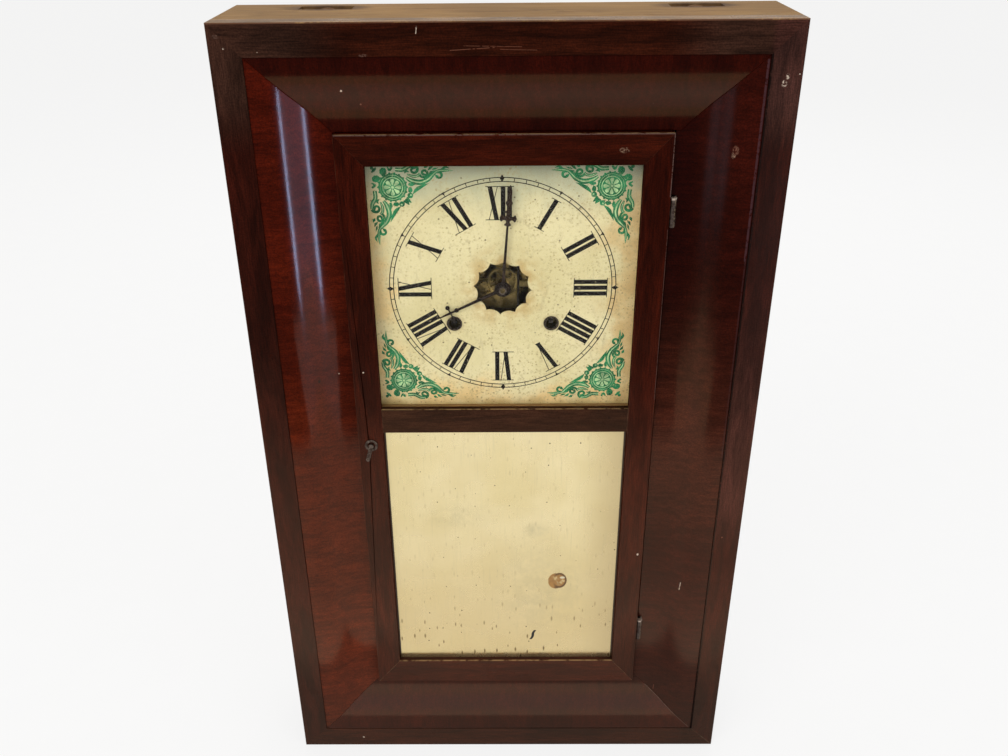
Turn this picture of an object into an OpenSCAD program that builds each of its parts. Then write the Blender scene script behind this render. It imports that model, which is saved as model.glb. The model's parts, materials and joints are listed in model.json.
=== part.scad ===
// Ogee shelf clock: a weight-driven 30-hour striking clock in a veneered box case.
// Millimetres. X to the right, Y to the back, Z up. The origin is the middle of the base.

/* [Case] */
// Width of the case
case_w = 394; // [388:1:420]
// Height of the case
case_h = 667; // [655:1:700]
// Depth of the case, from the flat rim to the back
case_d = 90; // [90:1:100]
// Thickness of the two side boards
side_t = 16; // [12:1:18]
// Thickness of the top board
top_t = 19; // [18:1:22]
// Thickness of the bottom board
bottom_t = 16; // [10:1:20]
// Thickness of the back board
back_t = 6; // [4:0.5:7]
// Thickness of the two boards that wall off the weights
partition_t = 8; // [5:1:9]
// How far those two boards end below the top of the case
partition_drop = 67; // [40:1:100]
// Width of the left weight's chute
left_chute_w = 65.7; // [58:0.1:70]
// Width of the right weight's chute
right_chute_w = 72.3; // [60:0.1:76]

/* [Front frame] */
// Width of the flat rim
rim_w = 22; // [18:1:24]
// Thickness of the flat rim
rim_t = 17; // [14:1:19]
// Rounding of the rim's outer front edge
rim_round = 1.2; // [0.5:0.1:3]
// Width of the ogee moulding
ogee_w = 53; // [48:1:54]
// How far the moulding starts behind the rim's face
ogee_step = 1; // [0.4:0.1:2]
// How far the moulding falls back over its width
ogee_drop = 13.5; // [11:0.5:14.5]
// Depth of the moulding's flat back, from the rim's face
ogee_back = 22; // [20:0.5:22.4]

/* [Door] */
// Depth of the door's face, from the rim's face
door_face = 9; // [8:0.5:10]
// Thickness of the door
door_t = 13; // [12:0.5:13.3]
// Gap between door and frame on three sides
door_gap = 0.6; // [0.4:0.1:1.2]
// Gap on the hinge side, which holds the knuckles
hinge_gap = 4.7; // [4.5:0.1:6]
// Width of the two stiles
stile_w = 20.4; // [17:0.2:22]
// Height of the top rail
top_rail_h = 22.5; // [19:0.5:26]
// Height of the bottom rail
bottom_rail_h = 25.3; // [22:0.1:30]
// Height of the rail between the two panes
cross_rail_h = 21.3; // [18:0.1:24]
// How far the cross rail's lower edge lies below the top of the case
cross_rail_down = 317.2; // [312:0.1:322]
// Thickness of the lip in front of the panes
lip_t = 5.5; // [4:0.5:6]
// Width of the rabbet behind the lip
rabbet_w = 5; // [4:0.5:6]
// Thickness of both panes
pane_t = 2; // [1.5:0.1:2.2]
// Gap between a pane and its rabbet
pane_gap = 0.4; // [0.2:0.1:0.8]
// Size of the square beads that hold the panes
bead = 4; // [3:0.5:4.5]

/* [Hinges and latch] */
// Diameter of a hinge barrel
barrel_d = 3.9; // [3.5:0.1:4.2]
// Diameter of a hinge pin
hinge_pin_d = 1.9; // [1.5:0.1:2]
// Length of a hinge
hinge_l = 22; // [18:1:28]
// Height of the middle of the lower hinge
hinge_low_z = 138; // [110:1:160]
// How far the middle of the upper hinge lies below the top of the case
hinge_high_down = 133.5; // [110:0.5:160]
// Depth of the hinge axis, from the rim's face
hinge_depth = 11; // [10:0.5:11.5]
// Thickness of a hinge leaf
leaf_t = 1; // [0.6:0.1:1.2]
// How far the latch spindle lies below the cross rail's lower edge
latch_down = 11.8; // [8:0.1:16]
// Outer diameter of the latch escutcheon
escutcheon_d = 10.5; // [9:0.5:12]
// Length of the latch lever from its spindle
lever_l = 13; // [10:0.5:16]
// Diameter of the latch spindle
spindle_d = 3; // [2.5:0.1:3.4]
// Length of the latch tongue behind the door
tongue_l = 15; // [13.5:0.5:18]

/* [Dial and hands] */
// Sideways place of the dial centre and the works
works_x = -3.3; // [-6:0.1:0]
// How far the dial centre and the works lie below the top of the case
works_down = 196.7; // [193:0.1:200]
// Width and height of the dial sheet
dial_size = 216; // [212:1:224]
// Depth of the dial's face, from the rim's face
dial_depth = 23; // [22.6:0.1:23.4]
// Thickness of the dial sheet
dial_t = 1; // [0.6:0.1:1.2]
// Distance from the centre to a cusp of the centre hole
cusp_r = 22.4; // [21:0.1:24]
// Distance from the centre to the arcs between the cusps
scallop_r = 19.5; // [18.5:0.1:20.5]
// Number of cusps
cusps = 12; // [8:1:16]
// Diameter of a winding hole
winding_hole_d = 11; // [9:0.5:13]
// Length of the minute hand
minute_l = 82; // [76:1:84]
// Distance of the minute hand's cross from the centre
minute_cross_r = 57; // [52:1:62]
// Length of the hour hand
hour_l = 56; // [50:1:60]
// Distance of the hour hand's cross from the centre
hour_cross_r = 45; // [41:1:47]
// Thickness of a hand
hand_t = 0.6; // [0.4:0.1:0.8]

/* [Movement] */
// Width of the movement plates
plate_w = 104; // [98:1:120]
// Thickness of the movement plates
plate_t = 1.5; // [1.2:0.1:1.8]
// Space between the dial and the front plate
works_front_gap = 16.5; // [16:0.1:20]
// Space between the two plates
plate_gap = 30.5; // [30.5:0.1:32]
// How far the wheels and the hammer lie behind the front plate
second_in = 2.5; // [2:0.1:3]
third_in = 16.5; // [15:0.1:17]
warning_in = 10.5; // [10:0.1:11]
hammer_in = 13.5; // [12:0.1:14]
// How far the motion work, escape wheel, crutch and pendulum lie before the front plate
cannon_out = 2.8; // [2.6:0.1:3]
hour_wheel_out = 5.2; // [5:0.1:5.4]
escape_out = 5; // [4.8:0.1:5.2]
count_out = 3; // [2.8:0.1:3.2]
crutch_out = 8; // [7.8:0.1:8.4]
rod_out = 11; // [10.8:0.1:11.4]
// Distance of the fly's arbor from the centre
fly_reach = 52; // [51:0.1:53]
// Top of the plates above the works' centre
plate_up = 72; // [70:1:76]
// Bottom of the plates below the works' centre
plate_down = 66; // [62:1:70]
// Diameter of a plate pillar
pillar_d = 6; // [5:0.5:7]
// Sideways distance of a winding arbor from the centre
winding_x = 37.7; // [36:0.1:40]
// Distance of the winding arbors below the centre
winding_down = 29.7; // [28:0.1:31]
// Diameter of an arbor between the plates
arbor_d = 3; // [2.6:0.1:3.2]
// Diameter of a pivot
pivot_d = 2; // [1.6:0.1:2.2]
// Running clearance of every pivot, on the radius
run = 0.06; // [0.03:0.01:0.09]
// Diameter of a cord drum
drum_d = 30; // [26:1:31]
// Length of the pendulum, from its suspension to the middle of its bob
pendulum_l = 331; // [310:1:340]
// Sideways place of the pendulum rod, which passes beside the centre
pendulum_x = 12; // [11:0.5:16]
// Diameter of the pendulum bob
bob_d = 56; // [44:1:62]
// Thickness of the pendulum bob
bob_t = 11; // [8:0.5:12]

/* [Weights and pulleys] */
// Distance of the left pulley from its side board
left_pulley_in = 53; // [50:0.5:54]
// Distance of the right pulley from its side board
right_pulley_in = 45.5; // [42:0.5:52]
// Distance of both pulleys from the back of the case
pulley_back = 19.5; // [19:0.5:21]
// Diameter of a pulley
pulley_d = 30; // [26:1:30]
// Thickness of a pulley
pulley_t = 9; // [7:0.5:10]
// Length of a pulley slot
slot_l = 38; // [36:1:42]
// Width of a pulley slot
slot_w = 16; // [13:0.5:17]
// Width of a weight
weight_w = 46; // [40:1:50]
// Depth of a weight
weight_d = 25; // [20:0.5:26]
// Height of a weight
weight_h = 160; // [120:1:180]

/* [Gong] */
// Gap between the resting hammer and the gong
hammer_gap = 2.5; // [1.5:0.5:5]
// Height of the gong's middle
gong_z = 238; // [225:1:250]
// Radius of the gong wire's first half turn
gong_r = 12; // [10:0.5:14]
// Distance between the gong's turns
gong_pitch = 9; // [7:0.5:10]
// Number of half turns in the gong
gong_half_turns = 7; // [4:1:8]
// Diameter of the gong wire
gong_wire_d = 3.2; // [2.4:0.1:4]

/* [Hidden] */
$fn = 48;
fine = 360;                           // facets of the large arcs
wire_sides = 10;                      // sides of the bent wires

e = 0.01;                             // overlap of a cut with the face it opens
front = -case_d / 2;                  // the rim's face
back_depth = case_d - back_t;         // depth of the back board's face
side_in = case_w / 2 - side_t;        // inner faces of the side boards
frame_w = rim_w + ogee_w;             // rim and moulding together
open_x = case_w / 2 - frame_w;        // the frame's opening runs from -open_x to open_x
open_low = frame_w;
ogee_low = ogee_step + ogee_drop;     // depth of the moulding's inner edge
open_high = case_h - frame_w;

// Heights that are set from the top of the case
works_z = case_h - works_down;
cross_rail_z = case_h - cross_rail_down;
latch_z = cross_rail_z - latch_down;
hinge_high_z = case_h - hinge_high_down;

// Door, from its four edges inwards
door_l = -open_x + door_gap;
door_r = open_x - hinge_gap;
door_low = open_low + door_gap;
door_high = open_high - door_gap;
door_back = door_face + door_t;
sight_l = door_l + stile_w;
sight_r = door_r - stile_w;
sight_low = door_low + bottom_rail_h;
sight_high = door_high - top_rail_h;
cross_top = cross_rail_z + cross_rail_h;
pane_depth = door_face + lip_t;
pane_back = pane_depth + pane_t;

hinge_x = open_x - hinge_gap / 2;
latch_x = door_l + stile_w / 2;
lever_tilt = 15;                      // the lever hangs a little to the left
lever_w = 3.2;
lever_t = 1.2;
spindle_run = 0.05;
tongue_t = 1.2;
tongue_gap = 0.4;                     // between the door's back and the tongue

// The partitions carry the dial and wall off the weights
partition_depth = dial_depth + dial_t;
partition_top = case_h - partition_drop;
bay_l = -side_in + left_chute_w + partition_t;
bay_r = side_in - right_chute_w - partition_t;

// Hands and their arbors, as depths from the rim's face
minute_depth = 18.6;
hour_depth = 20.4;
nut_depth = 17.2;
centre_r = 2;                         // the minute arbor
pipe_bore_r = centre_r + run;
pipe_r = 3.2;
hour_pipe_depth = 19.7;

// Positions of the arbors in the movement, from the works' centre, [sideways, up]
function meet(p, a, q, b, side) =     // the point at a from p and at b from q
    let (d = norm(q - p), u = (q - p) / d, k = (a * a - b * b + d * d) / (2 * d),
        h = sqrt(a * a - k * k))
    p + u * k + side * h * [-u[1], u[0]];
function mesh(a, b, module_size) = module_size * (a + b) / 2;
function aim(p, q) = atan2(q[1] - p[1], q[0] - p[0]);
function mirrored(p) = [-p[0], p[1]];

leaves = 8;                           // teeth of each small pinion
great_m = 1.25;
great_teeth = 48;
centre_teeth = 38;
second_m = 0.65;
second_teeth = 72;
third_m = 0.6;
third_teeth = 66;
cannon_teeth = 12;
minute_m = 0.625;
minute_teeth = 36;
hour_m = 0.5;
hour_teeth = 48;
count_m = 0.5;
count_teeth = 78;
escape_teeth = 42;
escape_r = 11;

great_reach = mesh(great_teeth, leaves, great_m);
centre_reach = 38;
centre_m = centre_reach / centre_teeth;
second_reach = mesh(second_teeth, leaves, second_m);
third_reach = mesh(third_teeth, leaves, third_m);
minute_reach = mesh(minute_teeth, cannon_teeth, minute_m);
count_reach = mesh(count_teeth, leaves, count_m);

centre = [0, 0];
great = [winding_x, -winding_down];
second = meet(great, great_reach, centre, centre_reach, -1);
third = meet(second, second_reach, centre, 31, -1);
escape = meet(third, third_reach, centre, 35, -1);
minute_post = minute_reach * [cos(225), sin(225)];
strike_great = mirrored(great);
pin_arbor = mirrored(second);
warning = mirrored(third);
fly_arbor = meet(warning, third_reach, centre, fly_reach, 1);
count_post = pin_arbor + count_reach * [0, 1];
hammer_arbor = [-2, -54];
verge_pin = escape + [0, 13.5];
suspension = [pendulum_x, 61];

// Depths of the plates and of the wheels between and before them
front_plate_depth = dial_depth + dial_t + works_front_gap;
plate_inside = front_plate_depth + plate_t;
back_plate_depth = plate_inside + plate_gap;
great_t = 2;
great_depth = back_plate_depth - great_t - 4;
drum_l = 16;
drum_depth = great_depth - 2 - drum_l;
wheel_t = 1.2;
centre_wheel_t = 1.4;
centre_wheel_depth = plate_inside + 0.7;
second_depth = plate_inside + second_in;
third_depth = plate_inside + third_in;
warning_depth = plate_inside + warning_in;
hammer_depth = plate_inside + hammer_in;
cannon_depth = front_plate_depth - cannon_out;
hour_wheel_depth = front_plate_depth - hour_wheel_out;
escape_depth = front_plate_depth - escape_out;
crutch_depth = front_plate_depth - crutch_out;
rod_depth = front_plate_depth - rod_out;
count_depth = front_plate_depth - count_out;
back_tip = back_plate_depth + plate_t + 0.8;
front_tip = front_plate_depth - 0.8;

left_pulley_x = left_pulley_in - side_in;
right_pulley_x = side_in - right_pulley_in;
pulley_depth = case_d - pulley_back;
left_weight_x = left_pulley_x - pulley_d / 2;
right_weight_x = right_pulley_x + pulley_d / 2;
axle_z = case_h - pulley_d / 2 - 0.5;
axle_d = 3;

// ---------- shared shapes ----------

// Anything flat, drawn as X and Z, between two depths
module slab(d0, d1)
    translate([0, front + d1, 0]) rotate([90, 0, 0]) linear_extrude(d1 - d0) children();

// The same, drawn from the works' centre
module works(d0, d1) translate([works_x, 0, works_z]) slab(d0, d1) children();

// A board between two corners
module board(x0, x1, d0, d1, z0, z1)
    translate([x0, front + d0, z0]) cube([x1 - x0, d1 - d0, z1 - z0]);

// A round bar along Y from the works' centre
module bar(p, r, d0, d1) works(d0, d1) translate(p) circle(r);

// A toothed outline. A tooth, or with gap = true a gap, points at the angle `to`
module teeth(count, module_size, to, gap = false) {
    pitch_r = count * module_size / 2;
    step = 360 / count;
    tip = (gap ? 0.65 : 0.85) * module_size;
    root = (gap ? 1.15 : 0.95) * module_size;
    foot_share = gap ? 0.19 : 0.26;
    head_share = gap ? 0.10 : 0.11;
    corners = [[-foot_share, -root], [-head_share, tip], [head_share, tip], [foot_share, -root]];
    polygon([for (i = [0:count - 1], c = corners)
        let (a = to + step * (i + c[0] + (gap ? 0.5 : 0))) (pitch_r + c[1]) * [cos(a), sin(a)]]);
}

// A wheel with four arms inside its toothed rim
module wheel(p, count, module_size, to, d0, thick, gap = false) {
    rim_r = (count * module_size / 2 - module_size) - 2.2;
    hub_r = arbor_d / 2 + 2.5;
    works(d0, d0 + thick) translate(p) difference() {
        teeth(count, module_size, to, gap);
        if (rim_r > hub_r + 3) difference() {
            circle(rim_r);
            circle(hub_r);
            for (a = [0, 90]) rotate(a + 20) square([2 * rim_r + 2, 2.4], center = true);
        }
    }
}

// An arbor with a pivot at each end
module arbor(p, d0 = front_plate_depth, r = arbor_d / 2) {
    bar(p, r, max(d0, plate_inside + 0.2), back_plate_depth - 0.2);
    bar(p, pivot_d / 2, min(d0, front_tip), back_tip);
}

module pinion(p, count, module_size, to, d0, d1)
    works(d0, d1) translate(p) teeth(count, module_size, to, true);

// ---------- case ----------

module backboard()
    color("burlywood") board(-case_w / 2, case_w / 2, back_depth, case_d, 0, case_h - top_t);

module side_board(s)
    color("peru") board(min(s * side_in, s * case_w / 2), max(s * side_in, s * case_w / 2),
        rim_t, back_depth, 0, case_h - top_t);
module side_left() side_board(-1);
module side_right() side_board(1);

module pulley_slot(x)
    translate([x, front + pulley_depth, case_h - top_t / 2])
        cube([slot_l, slot_w, top_t + 2], center = true);

module axle(x, r)
    translate([x, front + case_d - 4, axle_z]) rotate([90, 0, 0])
        cylinder(h = case_d - 4 - pulley_depth + slot_w / 2 + 8, r = r);

module top_board() color("tan") difference() {
    board(-case_w / 2, case_w / 2, rim_t, case_d, case_h - top_t, case_h);
    for (x = [left_pulley_x, right_pulley_x]) {
        pulley_slot(x);
        axle(x, axle_d / 2 + e);
    }
}

module bottom_board()
    color("burlywood") board(-side_in, side_in, rim_t, back_depth, 0, bottom_t);

module partition(x)
    color("burlywood") board(x, x + partition_t, partition_depth, back_depth, bottom_t, partition_top);
module partition_left() partition(bay_l - partition_t);
module partition_right() partition(bay_r);

// ---------- front frame ----------

// The flat rim and the moulding lie on a mitred rectangle, in to out from `a` to `b`
module mitre(side, a, b) {
    x0 = case_w / 2 - b;
    x1 = case_w / 2 - a;
    outer = [[-x1, a], [x1, a], [x1, case_h - a], [-x1, case_h - a]];
    inner = [[-x0, b], [x0, b], [x0, case_h - b], [-x0, case_h - b]];
    n = (side + 1) % 4;
    translate([0, front + case_d, 0]) rotate([90, 0, 0]) linear_extrude(2 * case_d)
        polygon([outer[side], outer[n], inner[n], inner[side]]);
}

// A profile, drawn as distance from the outer edge and depth, run along one side.
// Sides: 0 bottom, 1 right, 2 top, 3 left
module run_profile(side) {
    length = side % 2 == 0 ? case_w : case_h;
    across = side % 2 == 0 ? case_h : case_w;
    translate([0, front, case_h / 2]) rotate([0, -90 * side, 0])
        translate([-length / 2, 0, -across / 2]) rotate([90, 0, 90]) linear_extrude(length)
            mirror([1, -1, 0]) children();
}

module rim_profile() difference() {
    square([rim_w, rim_t]);
    difference() {
        translate([-1, -1]) square(rim_round + 1);
        translate([rim_round, rim_round]) circle(rim_round);
    }
}

module rim_piece(side) color("saddlebrown") intersection() {
    run_profile(side) rim_profile();
    mitre(side, 0, rim_w);
}
module rim_bottom() rim_piece(0);
module rim_right() rim_piece(1);
module rim_top() rim_piece(2);
module rim_left() rim_piece(3);

// Two equal arcs that meet halfway: round near the rim, hollow near the door
ogee_steps = 16;                      // straight facets of each arc
module ogee_profile() {
    half = ogee_w / 2;
    fall = ogee_drop / 2;
    r = (half * half + fall * fall) / (2 * fall);
    turn = asin(half / r);
    polygon(concat(
        [for (i = [0:ogee_steps]) let (a = turn * i / ogee_steps)
            [rim_w + r * sin(a), ogee_step + r * (1 - cos(a))]],
        [for (i = [ogee_steps - 1:-1:0]) let (a = turn * i / ogee_steps)
            [rim_w + ogee_w - r * sin(a), ogee_low - r * (1 - cos(a))]],
        [[rim_w + ogee_w, ogee_back], [rim_w, ogee_back]]));
}

module ogee_piece(side) color("firebrick") intersection() {
    run_profile(side) ogee_profile();
    mitre(side, rim_w, frame_w);
}
module ogee_bottom() ogee_piece(0);
// On the hinge side a flat fillet fills the gap beside the door, notched for the hinges
fillet_gap = 1.2;
notch_gap = 0.5;
module ogee_right() color("firebrick") difference() {
    union() {
        ogee_piece(1);
        board(door_r + fillet_gap, open_x + e, ogee_low, ogee_back, open_low, open_high);
    }
    for (z = [hinge_low_z, hinge_high_z])
        board(door_r, open_x, ogee_low - 1, ogee_back + 1, z - hinge_l / 2 - notch_gap,
            z + hinge_l / 2 + notch_gap);
}
module ogee_top() ogee_piece(2);
module ogee_left() ogee_piece(3);

// ---------- door ----------

// Flat front outline of a member, cut by the panes' rabbets behind the lip
module door_member(outline) color("maroon") difference() {
    slab(door_face, door_back) polygon(outline);
    slab(pane_depth, door_back + 1) for (z = [[sight_low, cross_rail_z], [cross_top, sight_high]])
        translate([sight_l - rabbet_w, z[0] - rabbet_w])
            square([sight_r - sight_l + 2 * rabbet_w, z[1] - z[0] + 2 * rabbet_w]);
}
module door_stile_left() difference() {
    door_member([[door_l, door_low], [sight_l, sight_low], [sight_l, sight_high], [door_l, door_high]]);
    slab(door_face - 1, door_back + 1)
        translate([latch_x, latch_z]) circle(spindle_d / 2 + spindle_run);
}
module door_stile_right()
    door_member([[door_r, door_low], [door_r, door_high], [sight_r, sight_high], [sight_r, sight_low]]);
module door_rail_top()
    door_member([[door_l, door_high], [sight_l, sight_high], [sight_r, sight_high], [door_r, door_high]]);
module door_rail_bottom()
    door_member([[door_l, door_low], [door_r, door_low], [sight_r, sight_low], [sight_l, sight_low]]);
module door_rail_cross()
    door_member([[sight_l, cross_rail_z], [sight_r, cross_rail_z], [sight_r, cross_top], [sight_l, cross_top]]);

module pane(z0, z1) {
    reach = rabbet_w - pane_gap;
    board(sight_l - reach, sight_r + reach, pane_depth, pane_back, z0 - reach, z1 + reach);
}
module dial_glass() color("lightcyan", 0.35) pane(cross_top, sight_high);
module mirror_pane() color("khaki") pane(sight_low, cross_rail_z);

// Four strips behind each pane
module glazing_beads() color("sienna") for (z = [[sight_low, cross_rail_z], [cross_top, sight_high]]) {
    x0 = sight_l - rabbet_w;
    x1 = sight_r + rabbet_w;
    z0 = z[0] - rabbet_w;
    z1 = z[1] + rabbet_w;
    for (x = [x0, x1 - bead]) board(x, x + bead, pane_back, pane_back + bead, z0, z1);
    for (s = [z0, z1 - bead]) board(x0 + bead, x1 - bead, pane_back, pane_back + bead, s, s + bead);
}

// ---------- hinges and latch ----------

knuckle_gap = 0.2;
knuckle_l = (hinge_l - 2 * knuckle_gap) / 3;
barrel_back = hinge_depth + barrel_d / 2 + knuckle_gap;
module barrel(z0, z1, bore) translate([hinge_x, front + hinge_depth, z0]) difference() {
    cylinder(h = z1 - z0, r = barrel_d / 2);
    if (bore > 0) translate([0, 0, -1]) cylinder(h = z1 - z0 + 2, r = bore);
}

// The case's leaf holds the pin and the two outer knuckles
module hinge_leaves_case() color("dimgray") for (z = [hinge_low_z, hinge_high_z]) {
    low = z - hinge_l / 2;
    for (k = [low, z + hinge_l / 2 - knuckle_l]) {
        barrel(k, k + knuckle_l, 0);
        board(hinge_x, open_x, hinge_depth, barrel_back + e, k, k + knuckle_l);
    }
    translate([hinge_x, front + hinge_depth, low]) cylinder(h = hinge_l, r = hinge_pin_d / 2);
    board(open_x - leaf_t, open_x, barrel_back, ogee_back - 0.5, low, low + hinge_l);
}

// The door's leaf holds the middle knuckle
module hinge_leaves_door() color("dimgray") for (z = [hinge_low_z, hinge_high_z]) {
    low = z - hinge_l / 2;
    k = low + knuckle_l + knuckle_gap;
    barrel(k, k + knuckle_l, hinge_pin_d / 2 + run);
    difference() {
        board(door_r + leaf_t / 2, hinge_x, hinge_depth, hinge_depth + barrel_d / 2, k, k + knuckle_l);
        translate([hinge_x, front + hinge_depth, k - 1])
            cylinder(h = knuckle_l + 2, r = hinge_pin_d / 2 + run);
    }
    difference() {
        board(door_r, door_r + leaf_t, hinge_depth, door_back - 1, low, low + hinge_l);
        for (s = [low - 1, low + hinge_l - knuckle_l - knuckle_gap])
            translate([hinge_x, front + hinge_depth, s])
                cylinder(h = knuckle_l + knuckle_gap + 1, r = barrel_d / 2 + 0.15);
    }
}

module latch_escutcheon() color("dimgray") slab(door_face - 0.9, door_face)
    translate([latch_x, latch_z]) difference() {
        circle(escutcheon_d / 2);
        circle(escutcheon_d / 2 - 2);
    }

// Lever, spindle and tongue turn together. The tongue hangs clear of the frame at rest
module latch_lever() color("gray") {
    lever_depth = door_face - 2.6;
    slab(lever_depth, lever_depth + lever_t) translate([latch_x, latch_z]) rotate(-lever_tilt) {
        circle(lever_w / 2 + 0.4);
        translate([-lever_w / 2, -lever_l]) square([lever_w, lever_l]);
        translate([0, -lever_l]) circle(lever_w / 2);
    }
    slab(lever_depth, door_back + tongue_gap + tongue_t)
        translate([latch_x, latch_z]) circle(spindle_d / 2);
    slab(door_back + tongue_gap, door_back + tongue_gap + tongue_t) translate([latch_x, latch_z]) {
        circle(spindle_d / 2 + 1.5);
        translate([-2, -tongue_l]) square([4, tongue_l]);
    }
}

// ---------- dial and hands ----------

module scalloped_hole() difference() {
    rotate(-5) circle(cusp_r, $fn = cusps);
    for (k = [0:cusps - 1]) rotate(-5 + (k + 0.5) * 360 / cusps) {
        half = cusp_r * sin(180 / cusps);
        bite = cusp_r * cos(180 / cusps) - scallop_r;
        r = (half * half + bite * bite) / (2 * bite);
        translate([scallop_r + r, 0]) circle(r);
    }
}

module dial() color("cornsilk") works(dial_depth, dial_depth + dial_t) difference() {
    square(dial_size, center = true);
    scalloped_hole();
    for (p = [great, strike_great]) translate(p) circle(winding_hole_d / 2);
}

// A cross with pointed arms and a round bite in each corner
module bitten_cross(size) difference() {
    half = size * 0.39;
    shoulder = size * 0.84;
    for (a = [0, 90]) rotate(a) polygon([[-half, -shoulder], [0, -size], [half, -shoulder],
        [half, shoulder], [0, size], [-half, shoulder]]);
    for (a = [45:90:315]) rotate(a) translate([size * 0.64, 0]) circle(size * 0.25);
}

// The long leaf beyond the cross, with a knot on it
module spear(length, neck_w, knot_w) {
    knot = length * 0.46;
    right = [[neck_w / 2, 0], [neck_w / 2, knot - 2.2], [knot_w / 2, knot],
        [neck_w * 0.6, knot + 2.2], [neck_w * 0.55, length - 4], [0.25, length]];
    polygon(concat(right, [for (k = [len(right) - 1:-1:0]) [-right[k][0], right[k][1]]]));
}

// A hand that points up: hub, tapered shaft, and its ornament round a point on the shaft
module hand(depth, angle, hub_r, bore_r, ornament_at, root_w) {
    module flat() translate([works_x, 0, works_z]) rotate([0, angle, 0])
        slab(depth, depth + hand_t) children();
    difference() {
        union() {
            flat() circle(hub_r);
            flat() polygon([[-root_w / 2, bore_r], [-shaft_w / 2, ornament_at],
                [shaft_w / 2, ornament_at], [root_w / 2, bore_r]]);
            for (k = [0:$children - 1]) flat() translate([0, ornament_at]) children(k);
        }
        flat() circle(bore_r);
    }
}

minute_angle = 4.3;
hour_angle = 244;
shaft_w = 1.4;                        // a hand's shaft at its ornament
minute_cross = 6.4;
hour_ball_r = 1.75;
hour_ball_reach = 4.8;
module minute_hand() color("black")
    hand(minute_depth, minute_angle, 4.4, centre_r + e, minute_cross_r, 2.6) {
        bitten_cross(minute_cross);
        spear(minute_l - minute_cross_r, 3, 5.4);
    }
module hour_hand() color("black")
    hand(hour_depth, hour_angle, 6.2, pipe_r + e, hour_cross_r, 3) {
        square([2 * hour_ball_reach, 0.9], center = true);
        translate([-hour_ball_reach, 0]) circle(hour_ball_r);
        translate([hour_ball_reach, 0]) circle(hour_ball_r);
        translate([0, -hour_ball_reach - 0.6]) circle(hour_ball_r);
        polygon([[-0.9, -1], [-0.9, 1], [-0.25, hour_l - hour_cross_r],
            [0.25, hour_l - hour_cross_r], [0.9, 1], [0.9, -1]]);
    }
module hand_nut() color("darkgoldenrod") difference() {
    bar(centre, 3, nut_depth, minute_depth);
    bar(centre, centre_r, nut_depth - 1, minute_depth + 1);
}

// ---------- movement plates ----------

// Openings in the plates, each a list of corners from the works' centre
function oblong(x0, z0, x1, z1) = [[x0, z0], [x1, z0], [x1, z1], [x0, z1]];
windows = [[[-24, -46], [22, -46], [22, -24], [-7, -24], [-7, -16], [-14, -14], [-21, -6], [-24, -6]],
    oblong(-31, 1, -5, 17), [[5, 4], [12, -1], [31, -1], [31, 17], [5, 17]], oblong(12, -21, 20, -6),
    oblong(-40, 51, -20, 65), oblong(24, 38, 40, 65), oblong(-46, -60, -30, -44),
    oblong(30, -60, 46, -44)];
pillar_in = 6;                        // distance of a pillar from the plates' edges
foot_pillar_x = 18;                   // the lower pillars stand clear of the great wheels
pillar_at = [for (s = [-1, 1], p = [[plate_w / 2 - pillar_in, plate_up - 2 * pillar_in],
    [foot_pillar_x, pillar_in - plate_down]]) [s * p[0], p[1]]];

module plate_outline(pivots) difference() {
    translate([-plate_w / 2, -plate_down]) square([plate_w, plate_up + plate_down]);
    for (w = windows) polygon(w);
    for (p = pivots) translate(p) circle(pivot_d / 2 + run);
}

module front_plate() color("darkkhaki") {
    works(front_plate_depth, plate_inside) difference() {
        plate_outline([second, third, warning, fly_arbor, hammer_arbor]);
        translate(pin_arbor) circle(leaves * count_m / 2 + 1.2);
        for (p = [great, strike_great]) translate(p) circle(drum_arbor_r + run);
        translate(centre) circle(centre_r + run);
        translate(escape) circle(arbor_d / 2 + run);
        for (p = pillar_at) translate(p) circle(pillar_d / 4 + e);
    }
    // Posts riveted into the plate: minute wheel, count wheel, verge and pendulum
    bar(minute_post, pivot_d / 2, hour_wheel_depth - 1, front_plate_depth + e);
    bar(count_post, pivot_d / 2, count_depth - 1, front_plate_depth + e);
    bar(verge_pin, pivot_d / 2, crutch_depth - 1.5, front_plate_depth + e);
    works(rod_depth - 3, front_plate_depth + e) translate(suspension + [0, 5])
        square([7, 5], center = true);
    bar(suspension, pivot_d / 2, rod_depth - 3, front_plate_depth + e);
}

module back_plate() color("darkkhaki") {
    works(back_plate_depth, back_plate_depth + plate_t)
        plate_outline([centre, great, strike_great, second, third, escape, pin_arbor, warning,
            fly_arbor, hammer_arbor]);
    for (p = pillar_at) {
        bar(p, pillar_d / 2, plate_inside, back_plate_depth + e);
        bar(p, pillar_d / 4, front_plate_depth - 2, plate_inside + e);
    }
}

// The boards that hold the plates in grooves
module plate_grooves() for (d = [front_plate_depth, back_plate_depth])
    board(works_x - plate_w / 2 - 0.2, works_x + plate_w / 2 + 0.2, d - 0.1, d + plate_t + 0.1,
        works_z - plate_down, works_z + plate_up);

plate_seat = 3;                       // how far the plates stand in the grooves
seat_t = 12;
block_h = 16;
block_half = 34;
hammer_way = 4.5;                     // free space round the hammer's rod
board_front = front_plate_depth - 4;
seat_top = works_z - plate_down + plate_seat;
block_low = works_z + plate_up - plate_seat;
module seat_board() color("burlywood") difference() {
    board(bay_l, bay_r, board_front, back_depth, seat_top - seat_t, seat_top);
    plate_grooves();
    board(works_x + hammer_arbor[0] - 2 * hammer_way, works_x + hammer_arbor[0] + hammer_way + 1,
        hammer_depth - hammer_way, hammer_depth + hammer_way, seat_top - seat_t - 1, seat_top + 1);
}
module top_block() color("burlywood") difference() {
    board(works_x - block_half, works_x + block_half, board_front, back_depth,
        block_low, block_low + block_h);
    plate_grooves();
}

// ---------- motion work ----------

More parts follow.
